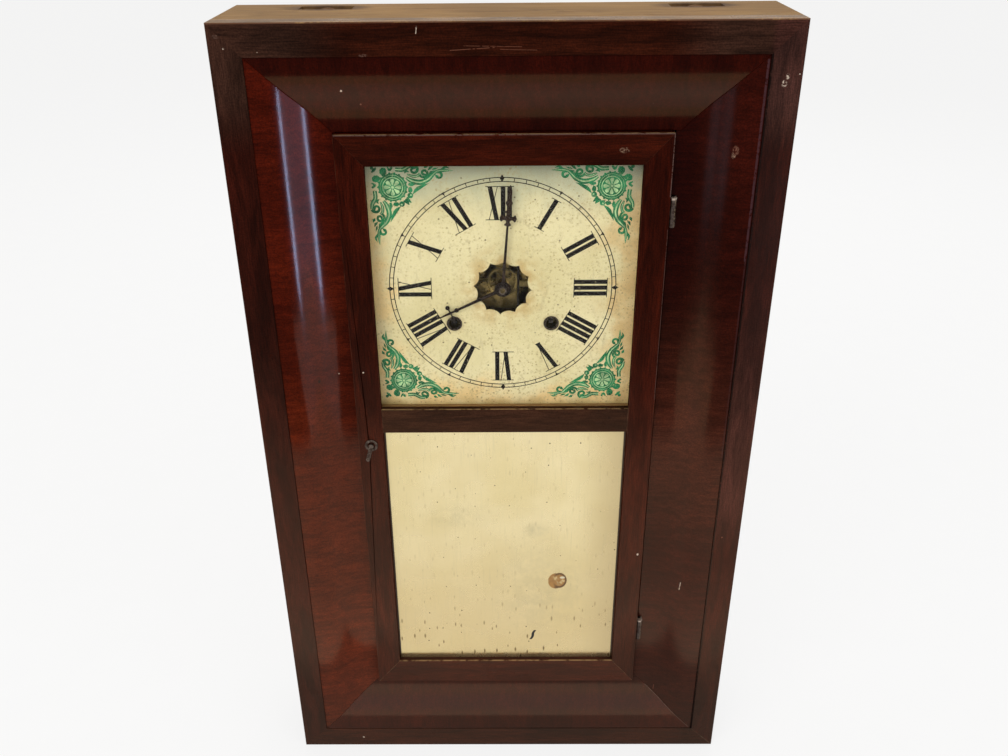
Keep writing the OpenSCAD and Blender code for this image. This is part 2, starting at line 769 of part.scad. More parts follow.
// Centre wheel, cannon pinion and the long arbor that carries the minute hand
module minute_arbor() color("goldenrod") {
    wheel(centre, centre_teeth, centre_m, aim(centre, second), centre_wheel_depth, centre_wheel_t);
    pinion(centre, cannon_teeth, minute_m, aim(centre, minute_post), cannon_depth, cannon_depth + 1.4);
    bar(centre, centre_r, nut_depth, back_plate_depth - 0.2);
    bar(centre, pivot_d / 2, back_plate_depth - 1, back_tip);
}

hour_rim_r = 10;                      // inside of the hour wheel's rim
hour_hub_r = 5;
module hour_wheel() color("goldenrod") difference() {
    union() {
        works(hour_wheel_depth, hour_wheel_depth + wheel_t) difference() {
            teeth(hour_teeth, hour_m, aim(centre, minute_post));
            difference() {
                circle(hour_rim_r);
                circle(hour_hub_r);
                for (a = [0, 90]) rotate(a + 30) square([2 * hour_rim_r + 2, 2], center = true);
            }
        }
        bar(centre, pipe_r, hour_pipe_depth, hour_wheel_depth + wheel_t);
    }
    bar(centre, pipe_bore_r, hour_pipe_depth - 1, hour_wheel_depth + wheel_t + 1);
}

module minute_wheel() color("goldenrod") difference() {
    union() {
        works(cannon_depth, cannon_depth + wheel_t) translate(minute_post)
            teeth(minute_teeth, minute_m, aim(minute_post, centre));
        pinion(minute_post, cannon_teeth, hour_m, aim(minute_post, centre), hour_wheel_depth - 0.4,
            cannon_depth + e);
    }
    bar(minute_post, pivot_d / 2 + run, hour_wheel_depth - 2, front_plate_depth);
}

// ---------- going train ----------

drum_arbor_r = 2.6;
square_side = 3.6;
square_tip = 27;
module great_wheel(p, to) color("goldenrod") {
    difference() {
        wheel(p, great_teeth, great_m, to, great_depth, great_t);
        bar(p, drum_arbor_r + run, great_depth - 1, great_depth + great_t + 1);
    }
    click(p);
}

// The pawl on an arm of the great wheel, just clear of the ratchet's teeth
module click(p) works(great_depth - 1.6, great_depth + e) translate(p) rotate(20)
    polygon([[ratchet_r + 0.3, -0.4], [11.5, -1.2], [20, -1.2], [20, 1.2], [16, 1.2], [10.8, 0.6]]);
module time_great_wheel() great_wheel(great, aim(great, second));
module strike_great_wheel() great_wheel(strike_great, aim(strike_great, pin_arbor));

// Drum with two flanges, a ratchet wheel and an arbor whose square end takes the key
module drum(p, turn) color("tan") {
    bar(p, drum_d / 2 - 1, drum_depth, drum_depth + drum_l);
    for (d = [drum_depth, drum_depth + drum_l - 1]) bar(p, drum_d / 2 + 1, d, d + 1);
    works(drum_depth + drum_l - e, great_depth - 0.3) translate(p) ratchet(turn);
    bar(p, drum_arbor_r, front_plate_depth - 1, back_plate_depth - 0.2);
    bar(p, pivot_d / 2, back_plate_depth - 1, back_tip);
    works(square_tip, front_plate_depth - 1 + e) translate(p) square(square_side, center = true);
}
ratchet_teeth = 24;
ratchet_r = 9.6;
module ratchet(turn) polygon([for (i = [0:ratchet_teeth - 1], c = [[0, ratchet_r - 1.6], [0.1, ratchet_r]])
    let (a = 360 / ratchet_teeth * (i + c[0])) c[1] * [turn * cos(a), sin(a)]]);
module time_drum() drum(great, 1);
module strike_drum() drum(strike_great, -1);

module second_wheel() color("goldenrod") {
    arbor(second);
    wheel(second, centre_teeth, centre_m, aim(second, centre), centre_wheel_depth, centre_wheel_t,
        gap = true);
    wheel(second, second_teeth, second_m, aim(second, third), second_depth, wheel_t);
    pinion(second, leaves, great_m, aim(second, great), great_depth - 1.5, great_depth + 3.5);
}

module third_wheel() color("goldenrod") {
    arbor(third);
    wheel(third, third_teeth, third_m, aim(third, escape), third_depth, wheel_t);
    pinion(third, leaves, second_m, aim(third, second), second_depth - 1, second_depth + 2.4);
}

// The escape wheel stands in front of the front plate, on a longer arbor
module escape_wheel() color("goldenrod") {
    bar(escape, arbor_d / 2, escape_depth - 1, back_plate_depth - 0.2);
    bar(escape, pivot_d / 2, escape_depth, back_tip);
    pinion(escape, leaves, third_m, aim(escape, third), third_depth - 1.5, third_depth + 2.7);
    works(escape_depth, escape_depth + 0.8) translate(escape) difference() {
        polygon([for (i = [0:escape_teeth - 1], c = [[0, -1.2], [0.45, 0], [0.6, 0]])
            let (a = -360 / escape_teeth * (i + c[0])) (escape_r + c[1]) * [cos(a), sin(a)]]);
        difference() {
            circle(escape_r - 2.6);
            circle(4);
            for (a = [30, 120]) rotate(a) square([2 * escape_r, 1.6], center = true);
        }
    }
}

// A bent steel strip with a pallet at each end, its hub, and the crutch wire
pallet_clear = 1.2;                   // the pallets stand clear of the teeth in every position
module verge() color("dimgray") difference() {
    union() {
        bar(verge_pin, 2.4, crutch_depth - 0.5, escape_depth + 1.6);
        works(escape_depth - 0.4, escape_depth + 1.2) {
            translate(verge_pin) square([9, 2], center = true);
            for (s = [-1, 1]) translate(escape) rotate(s * 30) {
                translate([-0.6, escape_r + pallet_clear]) square([1.2, 2.6]);
            }
            translate(escape) difference() {
                circle(escape_r + pallet_clear + 2.6);
                circle(escape_r + pallet_clear + 1.4);
                rotate(30) translate([-40, -40]) square([40, 80]);
                rotate(-30) translate([0, -40]) square([40, 80]);
                translate([-40, -80]) square([80, 80]);
            }
        }
        works(crutch_depth - 0.5, crutch_depth + 0.7) {
            hull() {
                translate(verge_pin) circle(0.8);
                translate([pendulum_x - 2.2, 24]) circle(0.8);
            }
            translate([pendulum_x - 3, 16]) square([1.2, 8.6]);
            translate([pendulum_x - 3, 16]) square([6, 1.2]);
            translate([pendulum_x + 1.8, 16]) square([1.2, 5]);
        }
        works(rod_depth - 1, crutch_depth) for (s = [-3, 1.8])
            translate([pendulum_x + s, 17]) square([1.2, 3]);
    }
    bar(verge_pin, pivot_d / 2 + run, crutch_depth - 3, escape_depth + 4);
}

// ---------- pendulum ----------

rod_d = 1.8;
rod_tail = bob_d / 2 + 8;             // how far the rod goes on below the middle of the bob
nut_h = 3;
nut_top = rod_tail - 6;
bob_foot = 4;
module pendulum_rod() color("darkgray") difference() {
    union() {
        bar(suspension, 2.4, rod_depth - 1, rod_depth + 1.4);
        translate([works_x + suspension[0], front + rod_depth, works_z + suspension[1] - pendulum_l]) {
            translate([0, 0, -rod_tail]) cylinder(h = pendulum_l + rod_tail - 1.5, r = rod_d / 2);
            translate([0, 0, -nut_top - nut_h]) cylinder(h = nut_h, r = 4);
        }
    }
    bar(suspension, pivot_d / 2 + run, rod_depth - 3, rod_depth + 3);
}

// A lens of brass over lead, resting on the rating nut
module pendulum_bob() color("goldenrod")
    translate([works_x + suspension[0], front + rod_depth, works_z + suspension[1] - pendulum_l])
    difference() {
        union() {
            rotate([90, 0, 0]) lens(bob_d / 2, bob_t / 2);
            translate([0, 0, -nut_top]) cylinder(h = bob_foot, r = 3);
        }
        translate([0, 0, -bob_d]) cylinder(h = 2 * bob_d, r = rod_d / 2 + 0.02);
    }
module lens(r, half) {
    curve = (r * r + half * half) / (2 * half);
    rotate_extrude() intersection() {
        translate([0, half - curve]) circle(curve, $fn = fine);
        translate([0, curve - half]) circle(curve, $fn = fine);
        translate([0, -half]) square([r, 2 * half]);
    }
}

// ---------- striking train ----------

pin_count = 8;
pin_ring = 17;
module pin_wheel() color("goldenrod") {
    arbor(pin_arbor, count_depth - 0.6);
    wheel(pin_arbor, second_teeth, second_m, aim(pin_arbor, warning), second_depth, wheel_t);
    pinion(pin_arbor, leaves, great_m, aim(pin_arbor, strike_great), great_depth - 1.5, great_depth + 3.5);
    pinion(pin_arbor, leaves, count_m, aim(pin_arbor, count_post), count_depth - 0.6,
        plate_inside + 0.4);
    works(second_depth + wheel_t - e, second_depth + 4) translate(pin_arbor)
        for (k = [0:pin_count - 1]) rotate(k * 360 / pin_count) translate([pin_ring, 0]) circle(0.8);
    works(second_depth, second_depth + wheel_t) translate(pin_arbor) difference() {
        circle(pin_ring + 1.6);
        circle(pin_ring - 1.6);
    }
}

module warning_wheel() color("goldenrod") {
    arbor(warning);
    wheel(warning, third_teeth, third_m, aim(warning, fly_arbor), warning_depth, wheel_t);
    pinion(warning, leaves, second_m, aim(warning, pin_arbor), second_depth - 1, second_depth + 2.4);
}

// The two-bladed air brake
fly_r = 12;
module fly() color("goldenrod") {
    arbor(fly_arbor);
    pinion(fly_arbor, leaves, third_m, aim(fly_arbor, warning), warning_depth - 1.5, warning_depth + 2.7);
    works(60, 72) translate(fly_arbor) square([2 * fly_r, 0.8], center = true);
    bar(fly_arbor, 2.4, 60, 72);
}

// Its deep slots stand where one strike ends: after 1, 1 + 2, 1 + 2 + 3 blows and so on
module count_wheel() color("goldenrod") works(count_depth, count_depth + wheel_t)
    translate(count_post) difference() {
        teeth(count_teeth, count_m, aim(count_post, pin_arbor));
        circle(pivot_d / 2 + run);
        for (hour = [1:12]) rotate(aim(count_post, pin_arbor) + (hour * (hour - 1) / 2 + 0.5) * 360 / count_teeth)
            translate([count_teeth * count_m / 2 - 4, -0.4]) square([6, 0.8]);
        for (k = [0:3]) rotate(45 + 90 * k) translate([8.5, 0]) circle(3.6);
    }

// Arbor, tail that the pins lift, and the long rod with its head
head_z = gong_z - works_z;
head_l = 12;
module hammer() color("dimgray") {
    arbor(hammer_arbor);
    reach = pin_ring + 0.8 + 0.5;
    tip = pin_arbor + reach * (hammer_arbor - pin_arbor) / norm(hammer_arbor - pin_arbor);
    works(second_depth + 2.2, second_depth + 3.6) hull() {
        translate(hammer_arbor) circle(1.6);
        translate(tip + (hammer_arbor - tip) / norm(hammer_arbor - tip) * 0.9) circle(0.8);
    }
    works(hammer_depth - 1, hammer_depth + 1)
        translate([hammer_arbor[0] - 1, head_z]) square([2, hammer_arbor[1] - head_z]);
    translate([works_x + hammer_arbor[0] - head_l / 2, front + hammer_depth, gong_z])
        rotate([0, 90, 0]) cylinder(h = head_l, r = 5);
}

// ---------- gong ----------

gong_depth = hammer_depth;
gong_left_r = gong_r + (2 * floor(gong_half_turns / 2) - 1) * gong_pitch / 2 + gong_wire_d / 2;
gong_centre = [works_x + hammer_arbor[0] + head_l / 2 + hammer_gap + gong_left_r, gong_z];

// Half turns about two centres, half a pitch apart, make one growing coil
module gong() color("darkslategray")
    translate([gong_centre[0], front + gong_depth, gong_centre[1]]) for (k = [0:gong_half_turns - 1])
        translate([0, 0, k % 2 == 0 ? 0 : -gong_pitch / 2]) rotate([90, k % 2 == 0 ? 0 : 180, 0])
            rotate([0, 0, -90]) rotate_extrude(angle = 180)
                translate([gong_r + k * gong_pitch / 2, 0]) circle(gong_wire_d / 2, $fn = wire_sides);

// An iron foot screwed to the back board, with the block that the coil's inner end meets
block_w = 7;
module gong_stand() color("dimgray") {
    slab(back_depth - 3, back_depth) translate(gong_centre) circle(11);
    slab(gong_depth - 3, back_depth) translate(gong_centre - [block_w, gong_r + 3])
        square([block_w, gong_r + 6]);
}

// ---------- pulleys and weights ----------

module pulley(x) color("rosybrown") translate([x, front + pulley_depth, axle_z]) rotate([90, 0, 0])
    rotate_extrude() difference() {
        translate([axle_d / 2 + run, -pulley_t / 2]) square([pulley_d / 2 - axle_d / 2 - run, pulley_t]);
        translate([pulley_d / 2 + 0.6, 0]) circle(2.6, $fn = wire_sides);
    }
module pulley_left() pulley(left_pulley_x);
module pulley_right() pulley(right_pulley_x);
module pulley_axles() color("dimgray") for (x = [left_pulley_x, right_pulley_x]) axle(x, axle_d / 2);

// A cast bar with chamfered shoulders and a wire eye for the cord
weight_rest = bottom_t + 0.3;
module weight(x) color("dimgray") translate([x, front + pulley_depth, weight_rest]) {
    translate([0, weight_d / 2, 0]) rotate([90, 0, 0]) linear_extrude(weight_d)
        polygon([[-weight_w / 2, 0], [weight_w / 2, 0], [weight_w / 2, weight_h - 8],
            [weight_w / 2 - 8, weight_h], [-weight_w / 2 + 8, weight_h], [-weight_w / 2, weight_h - 8]]);
    translate([0, 0, weight_h]) rotate([90, 0, 0]) rotate_extrude()
        translate([6, 0]) circle(1.3, $fn = wire_sides);
}
module weight_left() weight(left_weight_x);
module weight_right() weight(right_weight_x);

backboard();
side_left();
side_right();
top_board();
bottom_board();
rim_left();
rim_right();
rim_top();
rim_bottom();
ogee_left();
ogee_right();
ogee_top();
ogee_bottom();
partition_left();
partition_right();
seat_board();
top_block();
door_stile_left();
door_stile_right();
door_rail_top();
door_rail_cross();
door_rail_bottom();
dial_glass();
mirror_pane();  // mirror
glazing_beads();
hinge_leaves_case();
hinge_leaves_door();
latch_escutcheon();
latch_lever();
dial();
minute_hand();
hour_hand();
hand_nut();
front_plate();
back_plate();
minute_arbor();
hour_wheel();
minute_wheel();
time_great_wheel();
time_drum();
second_wheel();
third_wheel();
escape_wheel();
verge();
pendulum_rod();
pendulum_bob();
strike_great_wheel();
strike_drum();
pin_wheel();
warning_wheel();
fly();
count_wheel();
hammer();
gong();
gong_stand();
pulley_left();
pulley_right();
pulley_axles();
weight_left();
weight_right();
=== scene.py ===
"""Ogee shelf clock: finishes, painted dial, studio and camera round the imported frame."""
import json
import math

import bpy
from mathutils import Matrix, Vector

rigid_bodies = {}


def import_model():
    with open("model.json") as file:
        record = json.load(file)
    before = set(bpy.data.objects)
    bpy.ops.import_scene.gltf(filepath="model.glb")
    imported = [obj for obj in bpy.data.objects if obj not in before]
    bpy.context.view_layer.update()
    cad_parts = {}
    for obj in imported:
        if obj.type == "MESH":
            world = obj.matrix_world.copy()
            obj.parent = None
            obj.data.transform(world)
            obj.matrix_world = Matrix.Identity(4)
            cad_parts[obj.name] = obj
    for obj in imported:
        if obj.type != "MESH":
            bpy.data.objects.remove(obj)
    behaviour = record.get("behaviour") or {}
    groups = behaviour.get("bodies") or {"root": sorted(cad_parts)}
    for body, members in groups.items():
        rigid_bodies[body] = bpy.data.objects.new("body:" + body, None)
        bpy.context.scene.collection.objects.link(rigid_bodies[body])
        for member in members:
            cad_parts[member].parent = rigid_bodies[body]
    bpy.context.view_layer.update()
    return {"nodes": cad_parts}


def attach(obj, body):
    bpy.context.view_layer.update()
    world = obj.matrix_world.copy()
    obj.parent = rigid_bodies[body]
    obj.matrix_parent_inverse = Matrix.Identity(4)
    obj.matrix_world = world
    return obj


MM = 0.001
# The dial's centre and front, and a winding hole's place from that centre, in millimetres.
DIAL_X, DIAL_Z, DIAL_FACE = -3.3, 470.3, -22.0
HOLE_X, HOLE_Z = 37.7, -29.7
RIMS = ["rim_left", "rim_right", "rim_top", "rim_bottom"]
OGEES = ["ogee_left", "ogee_right", "ogee_top", "ogee_bottom"]
DOOR = ["door_stile_left", "door_stile_right", "door_rail_top", "door_rail_cross",
        "door_rail_bottom"]

for thing in list(bpy.data.objects):
    bpy.data.objects.remove(thing)
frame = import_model()
nodes = frame["nodes"]


# --- materials

class Nodes:
    """Short names for the nodes of one tree."""

    def __init__(self, tree):
        self.tree = tree

    def wire(self, socket, value):
        if isinstance(value, bpy.types.NodeSocket):
            self.tree.links.new(value, socket)
        elif socket.type == "RGBA":
            socket.default_value = (*value, 1.0)
        else:
            socket.default_value = value

    def add(self, kind, *values, **props):
        """A new node; values go to its sockets in their order."""
        item = self.tree.nodes.new(kind)
        for key, value in props.items():
            setattr(item, key, value)
        for socket, value in zip(item.inputs, values):
            self.wire(socket, value)
        return item

    def named(self, item, **values):
        """Give a node its values by the names of its sockets."""
        for key, value in values.items():
            self.wire(item.inputs[key.replace("_", " ")], value)
        return item

    def calc(self, op, *values, clamp=False):
        item = self.add("ShaderNodeMath", *values, operation=op)
        item.use_clamp = clamp
        return item.outputs[0]

    def less(self, value, part):
        return self.calc("SUBTRACT", value, part)

    def chain(self, op, masks):
        total = masks[0]
        for mask in masks[1:]:
            total = self.calc(op, total, mask)
        return total

    def most(self, *masks):
        """Where any of the masks is."""
        return self.chain("MAXIMUM", masks)

    def both(self, *masks):
        """Where all the masks are, or their product."""
        return self.chain("MULTIPLY", masks)

    def far(self, dx, dz):
        """Distance from its two parts."""
        return self.calc("SQRT", self.calc("ADD", self.both(dx, dx), self.both(dz, dz)))

    def fade(self, value, start, end, low=0.0, high=1.0, kind="SMOOTHSTEP"):
        """Map value from start..end to low..high, held at the ends."""
        item = self.add("ShaderNodeMapRange", value, start, end, low, high,
                        interpolation_type=kind)
        return item.outputs[0]

    def ray(self, *kinds):
        """1 for rays of any of these kinds."""
        path = self.tree.nodes.new("ShaderNodeLightPath")
        return self.most(*(path.outputs[f"Is {kind} Ray"] for kind in kinds))


class Finish(Nodes):
    """A Principled material. Its tone is the base colour so far, which later layers change."""

    def __init__(self, name, **sockets):
        self.mat = bpy.data.materials.new(name)
        self.mat.use_nodes = True
        super().__init__(self.mat.node_tree)
        self.bsdf = self.tree.nodes["Principled BSDF"]
        coords = self.tree.nodes.new("ShaderNodeTexCoord")
        self.place = coords.outputs["Object"]
        self.facing = coords.outputs["Normal"]
        self.put(**sockets)

    def put(self, **sockets):
        self.named(self.bsdf, **sockets)

    def blend(self, factor, other):
        """Mix another shader in before the output."""
        item = self.add("ShaderNodeMixShader", factor, self.bsdf.outputs[0], other.outputs[0])
        self.wire(self.tree.nodes["Material Output"].inputs[0], item.outputs[0])

    def axes(self, vector=None):
        return self.add("ShaderNodeSeparateXYZ", vector or self.place).outputs

    def mix(self, factor, first, second, blend="MIX"):
        item = self.add("ShaderNodeMix", data_type="RGBA", blend_type=blend)
        for socket, value in ((0, factor), (6, first), (7, second)):
            self.wire(item.inputs[socket], value)
        return item.outputs[2]

    def shade(self, colour, factor, low, high):
        """Multiply a colour by low..high as factor goes 0..1."""
        grey = self.fade(factor, 0.0, 1.0, low, high, kind="LINEAR")
        tone = self.add("ShaderNodeCombineXYZ", grey, grey, grey).outputs[0]
        return self.mix(1.0, colour, tone, "MULTIPLY")

    def lay(self, colour, *masks):
        """Lay a colour over the tone, as far as all the masks let it."""
        self.tone = self.mix(self.both(*masks), self.tone, colour)

    def vary(self, pattern, low, high, start=0.3, end=0.7):
        """Multiply the tone by low..high as a pattern goes from start to end."""
        self.tone = self.shade(self.tone, self.fade(pattern, start, end), low, high)

    def bump(self, height, strength, depth):
        item = self.named(self.add("ShaderNodeBump"), Strength=strength, Distance=depth,
                          Height=height)
        self.put(Normal=item.outputs[0])

    def grid(self, size, shift):
        """The place in cells of a size (one number or x, y, z) in millimetres."""
        size = size if hasattr(size, "__len__") else (size,) * 3
        scaled = self.add("ShaderNodeVectorMath", self.place, tuple(1000 / s for s in size),
                          operation="MULTIPLY")
        moved = self.add("ShaderNodeVectorMath", scaled.outputs[0],
                         (shift, shift * 1.7, shift * 0.6), operation="ADD")
        return moved.outputs[0]

    def noise(self, size, detail=3.0, rough=0.5, warp=0.0, shift=0.0):
        item = self.named(self.add("ShaderNodeTexNoise"), Vector=self.grid(size, shift),
                          Scale=1.0, Detail=detail, Roughness=rough, Distortion=warp)
        return item.outputs["Fac"]

    def specks(self, cell, share, radius, shift=0.0, soft=0.35, front=False):
        """Scattered dots: one in a share of the cells, radius as a part of the cell.

        On a face that looks to the front, the cells lie in its plane.
        """
        vector = self.grid(cell, shift)
        if front:
            ax = self.axes(vector)
            vector = self.add("ShaderNodeCombineXYZ", ax[0], ax[2]).outputs[0]
        item = self.add("ShaderNodeTexVoronoi", voronoi_dimensions="2D" if front else "3D")
        self.named(item, Vector=vector, Scale=1.0, Randomness=1.0)
        pick = self.axes(item.outputs["Color"])
        here = self.fade(pick[0], share, share - 0.001, kind="LINEAR")
        reach = self.both(self.fade(pick[1], 0, 1, 0.45, 1.0, kind="LINEAR"), radius)
        gone = self.calc("DIVIDE", item.outputs["Distance"], reach)
        return self.both(here, self.fade(gone, 1.0, 1.0 - soft))

    def spot(self, x, z, radius, soft, tall=1.0):
        """A round mark at one place on a face that looks to the front."""
        ax = self.axes()
        dx = self.less(ax[0], x * MM)
        dz = self.calc("DIVIDE", self.less(ax[2], z * MM), tall)
        return self.fade(self.far(dx, dz), radius * MM, radius * MM * (1 - soft))

    def scratch(self, x0, z0, x1, z1, half):
        """A thin straight mark on such a face, from one place to another."""
        ax = self.axes()
        ex, ez = (x1 - x0) * MM, (z1 - z0) * MM
        dx = self.less(ax[0], x0 * MM)
        dz = self.less(ax[2], z0 * MM)
        run = self.calc("ADD", self.both(dx, ex), self.both(dz, ez))
        run = self.calc("DIVIDE", run, ex * ex + ez * ez, clamp=True)
        dx = self.less(dx, self.both(run, ex))
        dz = self.less(dz, self.both(run, ez))
        return self.fade(self.far(dx, dz), half * MM, half * MM * 0.4)


def along(axis, long, thin):
    """Feature size with its long side on the axis."""
    return tuple(long if axis == name else thin for name in "xyz")


worn_by = {}


def wear(names, finish):
    """Give nodes a finish; those that no call names are brass."""
    worn_by.update((name, finish) for name in names.split())


PORE, WORN = (0.006, 0.002, 0.001), (0.085, 0.034, 0.019)
# DUST_AND_SHEEN is fine dust and a painted reflection of the lit table top in one colour.
SCUFF, CHIP, DUST_AND_SHEEN = (0.13, 0.07, 0.05), (0.50, 0.38, 0.29), (0.0275, 0.0200, 0.0145)
GREAT_MARK = 1.4  # over this radius in millimetres a mark is torn at its edge


def veneer(name, axis, upper, lower, seed, ripple=0.0, gloss=0.26, dull=0.12, relief=0.35,
           lip=None, patch=None, marks=(), lines=()):
    """Old varnished mahogany, with its colours high up and low down on the case; the paler
    colour low down is partly a painted reflection of the lit table top.

    A mark is x, z, radius, height to width and colour; a line is its two ends, half width,
    colour and share. The lip is the colour of worn upper arrises, and the y of their strip;
    that colour is partly a painted highlight where they face up.
    """
    f = Finish(name, Roughness=gloss, Specular_IOR_Level=0.02)
    ax = f.axes()
    height = f.fade(f.calc("ADD", ax[2], f.fade(f.noise(60, shift=seed), 0, 1, -0.12, 0.12)),
                    0.10, 0.60)
    # The lower colour is paler partly as a painted reflection of the lit table top.
    f.tone = f.mix(height, lower, upper)
    if patch:
        patch(f, ax)
    fibre = f.noise(along(axis, 14, 0.55), detail=4, rough=0.6, warp=0.3, shift=seed)
    figure = f.noise(along(axis, 70, 9), detail=3, rough=0.55, warp=0.8, shift=seed + 3)
    fine, flame = (0.27, 0.20) if ripple else (0.42, 0.36)
    f.vary(fibre, 1 - fine, 1 + fine)
    f.vary(figure, 1 - flame, 1 + flame, 0.32, 0.68)
    f.vary(f.noise(95, detail=2, shift=seed + 7), 0.8, 1.2)
    if ripple:
        band = f.noise(along(axis, 40, 2.6), detail=2, rough=0.45, warp=0.5, shift=seed + 11)
        f.vary(band, 1 - ripple, 1 + ripple, 0.35, 0.65)
    f.vary(f.noise(1.1, detail=2, rough=0.6, shift=seed + 13), 0.74, 1.26)
    pores = f.specks(along(axis, 5.0, 0.7), 0.5, 0.26, shift=seed, soft=0.6)
    f.lay(PORE, pores, 0.45)

    # Faces of the rounded edges have two parts to their normal; the varnish is thin there.
    normal = f.axes(f.facing)
    turned_to = [f.calc("ABSOLUTE", part) for part in normal]
    edge = f.fade(f.most(*turned_to), 0.975, 0.93)
    rub = f.fade(f.noise(along(axis, 26, 5), detail=4, rough=0.7, shift=seed + 5), 0.44, 0.62)
    if not ripple:
        f.lay(WORN, edge, rub, 0.7)
    # Worn upper arrises, painted lighter where they face up: wear and a painted highlight.
    if lip:
        near = f.fade(normal[1], -0.15, -0.4)
        if lip[1]:
            near = f.most(near, f.fade(ax[1], lip[1], lip[1] - 0.001))
        upward = f.both(f.fade(normal[2], 0.25, 0.5), near)
        rough_lip = f.fade(f.noise(9, detail=4, rough=0.7, shift=seed + 9), 0.36, 0.52)
        f.lay(lip[0], upward, rough_lip)

    # Fine dust low down, where a shelf gathers it, and in the same colour a painted reflection of
    # the lit table top.
    f.tone = f.mix(f.fade(ax[2], 0.215, 0.020), f.tone, DUST_AND_SHEEN, "ADD")

    # Small pale chips and scuffs, and a few larger marks and lines at their own places; the GLEAM
    # lines are worn edges with a painted highlight on them.
    chips = f.specks(34, 0.30, 0.022, shift=seed + 2)
    scuff = f.specks(along(axis, 16, 9), 0.20, 0.055, shift=seed + 4, soft=0.9)
    f.lay(SCUFF, scuff, 0.35)
    f.lay(CHIP, chips, 0.8)
    rag = f.fade(f.noise(2.2, detail=4, rough=0.7, shift=seed + 6), 0.38, 0.46)
    torn = f.fade(f.noise(1.3, detail=4, rough=0.8, shift=seed + 12), 0.48, 0.56)
    for x, z, radius, tall, colour in marks:
        edging = torn if radius > GREAT_MARK else rag
        f.lay(colour, f.spot(x, z, radius, 0.4, tall), edging)
    for x0, z0, x1, z1, half, colour, share in lines:
        f.lay(colour, f.scratch(x0, z0, x1, z1, half), rag, share)
    f.put(Base_Color=f.tone)

    handled = f.noise(42, detail=4, rough=0.6, shift=seed + 8)
    polish = f.fade(f.calc("ADD", handled, f.both(edge, 0.3)), 0.3, 0.9, gloss, gloss + dull)
    # Faces that look to the side, such as the sight edges of the door, were never polished.
    f.put(Roughness=f.most(polish, f.both(f.fade(turned_to[0], 0.75, 0.9), 0.95)))
    grit = f.noise(0.9, detail=3, rough=0.6, shift=seed + 1)
    height = f.calc("ADD", f.both(fibre, 0.6), f.both(grit, 0.4))
    f.bump(f.less(height, f.both(pores, 0.25)), relief, 0.0001)
    return f.mat


def plain_wood(name, axis, colour, late, seed, stain=None, rough=0.72):
    """Bare wood: growth lines in the colour of late wood, fibres, dirt and dents."""
    f = Finish(name, Roughness=rough, Specular_IOR_Level=0.25)
    ring = f.noise(along(axis, 420, 13), detail=3, rough=0.5, warp=0.6, shift=seed)
    lines = f.calc("FRACT", f.both(ring, 13.0))
    lines = f.both(f.fade(lines, 0.1, 0.85), f.fade(lines, 1.0, 0.88))
    fibre = f.noise(along(axis, 22, 0.5), detail=4, rough=0.65, shift=seed + 2)
    f.tone = colour
    f.lay(late, lines, 0.6)
    f.vary(fibre, 0.82, 1.16)
    f.vary(f.noise(120, detail=3, shift=seed + 4), 0.8, 1.15)
    dirt = f.fade(f.noise(along(axis, 46, 22), detail=5, rough=0.7, shift=seed + 6), 0.54, 0.72)
    f.lay(tuple(c * 0.32 for c in late), dirt, 0.42)
    dents = f.specks(along(axis, 30, 16), 0.4, 0.05, shift=seed + 8)
    f.lay(tuple(c * 0.2 for c in late), dents, 0.8)
    if stain:
        stain(f)
    f.put(Base_Color=f.tone)
    relief = f.less(f.calc("ADD", f.both(fibre, 0.7), f.both(lines, 0.3)), dents)
    f.bump(relief, 0.5, 0.0002)
    return f.mat


def metal(name, colour, rough, patina, share, seed, cell, metallic=1.0,
          brushed=(0.25, 0.25, 4.0), rubbed=None, specular=0.5):
    """Aged metal: patina over a share of it in patches, fine scratches and pitting."""
    f = Finish(name, Metallic=metallic, Roughness=rough, Specular_IOR_Level=specular)
    cloud = f.noise(cell, detail=5, rough=0.65, shift=seed)
    f.tone = colour
    f.vary(f.noise(cell * 3, detail=2, shift=seed + 1), 0.8, 1.15)
    f.tone = f.mix(f.fade(cloud, share - 0.08, share + 0.12), patina, f.tone)
    pits = f.specks(1.6, 0.25, 0.22, shift=seed + 3)
    f.lay(tuple(c * 0.25 for c in colour), pits, 0.6)
    # For the hinges this lays painted highlights.
    if rubbed:
        rubbed(f)
    f.put(Base_Color=f.tone, Roughness=f.fade(cloud, 0.3, 0.7, rough + 0.22, rough))
    scratch = f.noise(brushed, detail=3, rough=0.6, shift=seed + 5)
    f.bump(f.less(f.both(scratch, 0.5), pits), 0.3, 0.00006)
    return f.mat


def warm_middle(f, ax):
    """The right ogee is dark beside the door and redder half way down and outside."""
    middle = f.both(f.fade(ax[2], 0.50, 0.38), f.fade(ax[2], 0.22, 0.30))
    f.lay((0.056, 0.0135, 0.0066), middle, 0.6)
    dark = f.both(f.fade(ax[0], 0.142, 0.128), f.fade(ax[2], 0.42, 0.50))
    f.lay((0.014, 0.0012, 0.0008), dark, 0.6)
    outer = f.both(f.fade(ax[0], 0.150, 0.166), f.fade(ax[2], 0.36, 0.44))
    f.lay((0.034, 0.0038, 0.0020), outer, 0.35)


def cross_wear(f, ax):
    """The cross rail is handled most, and browner for it."""
    cross = f.both(f.fade(ax[2], 0.340, 0.345), f.fade(ax[2], 0.380, 0.375))
    f.lay((0.031, 0.0125, 0.0062), cross, 0.8)


def bead_top(f):
    """The bead's upper faces are worn to bare wood at the foot of the dial."""
    gold = f.mix(f.fade(f.axes()[2], 0.2, 0.3), (0.085, 0.050, 0.016), (0.24, 0.135, 0.050))
    f.lay(gold, f.fade(f.axes(f.facing)[2], 0.4, 0.7))


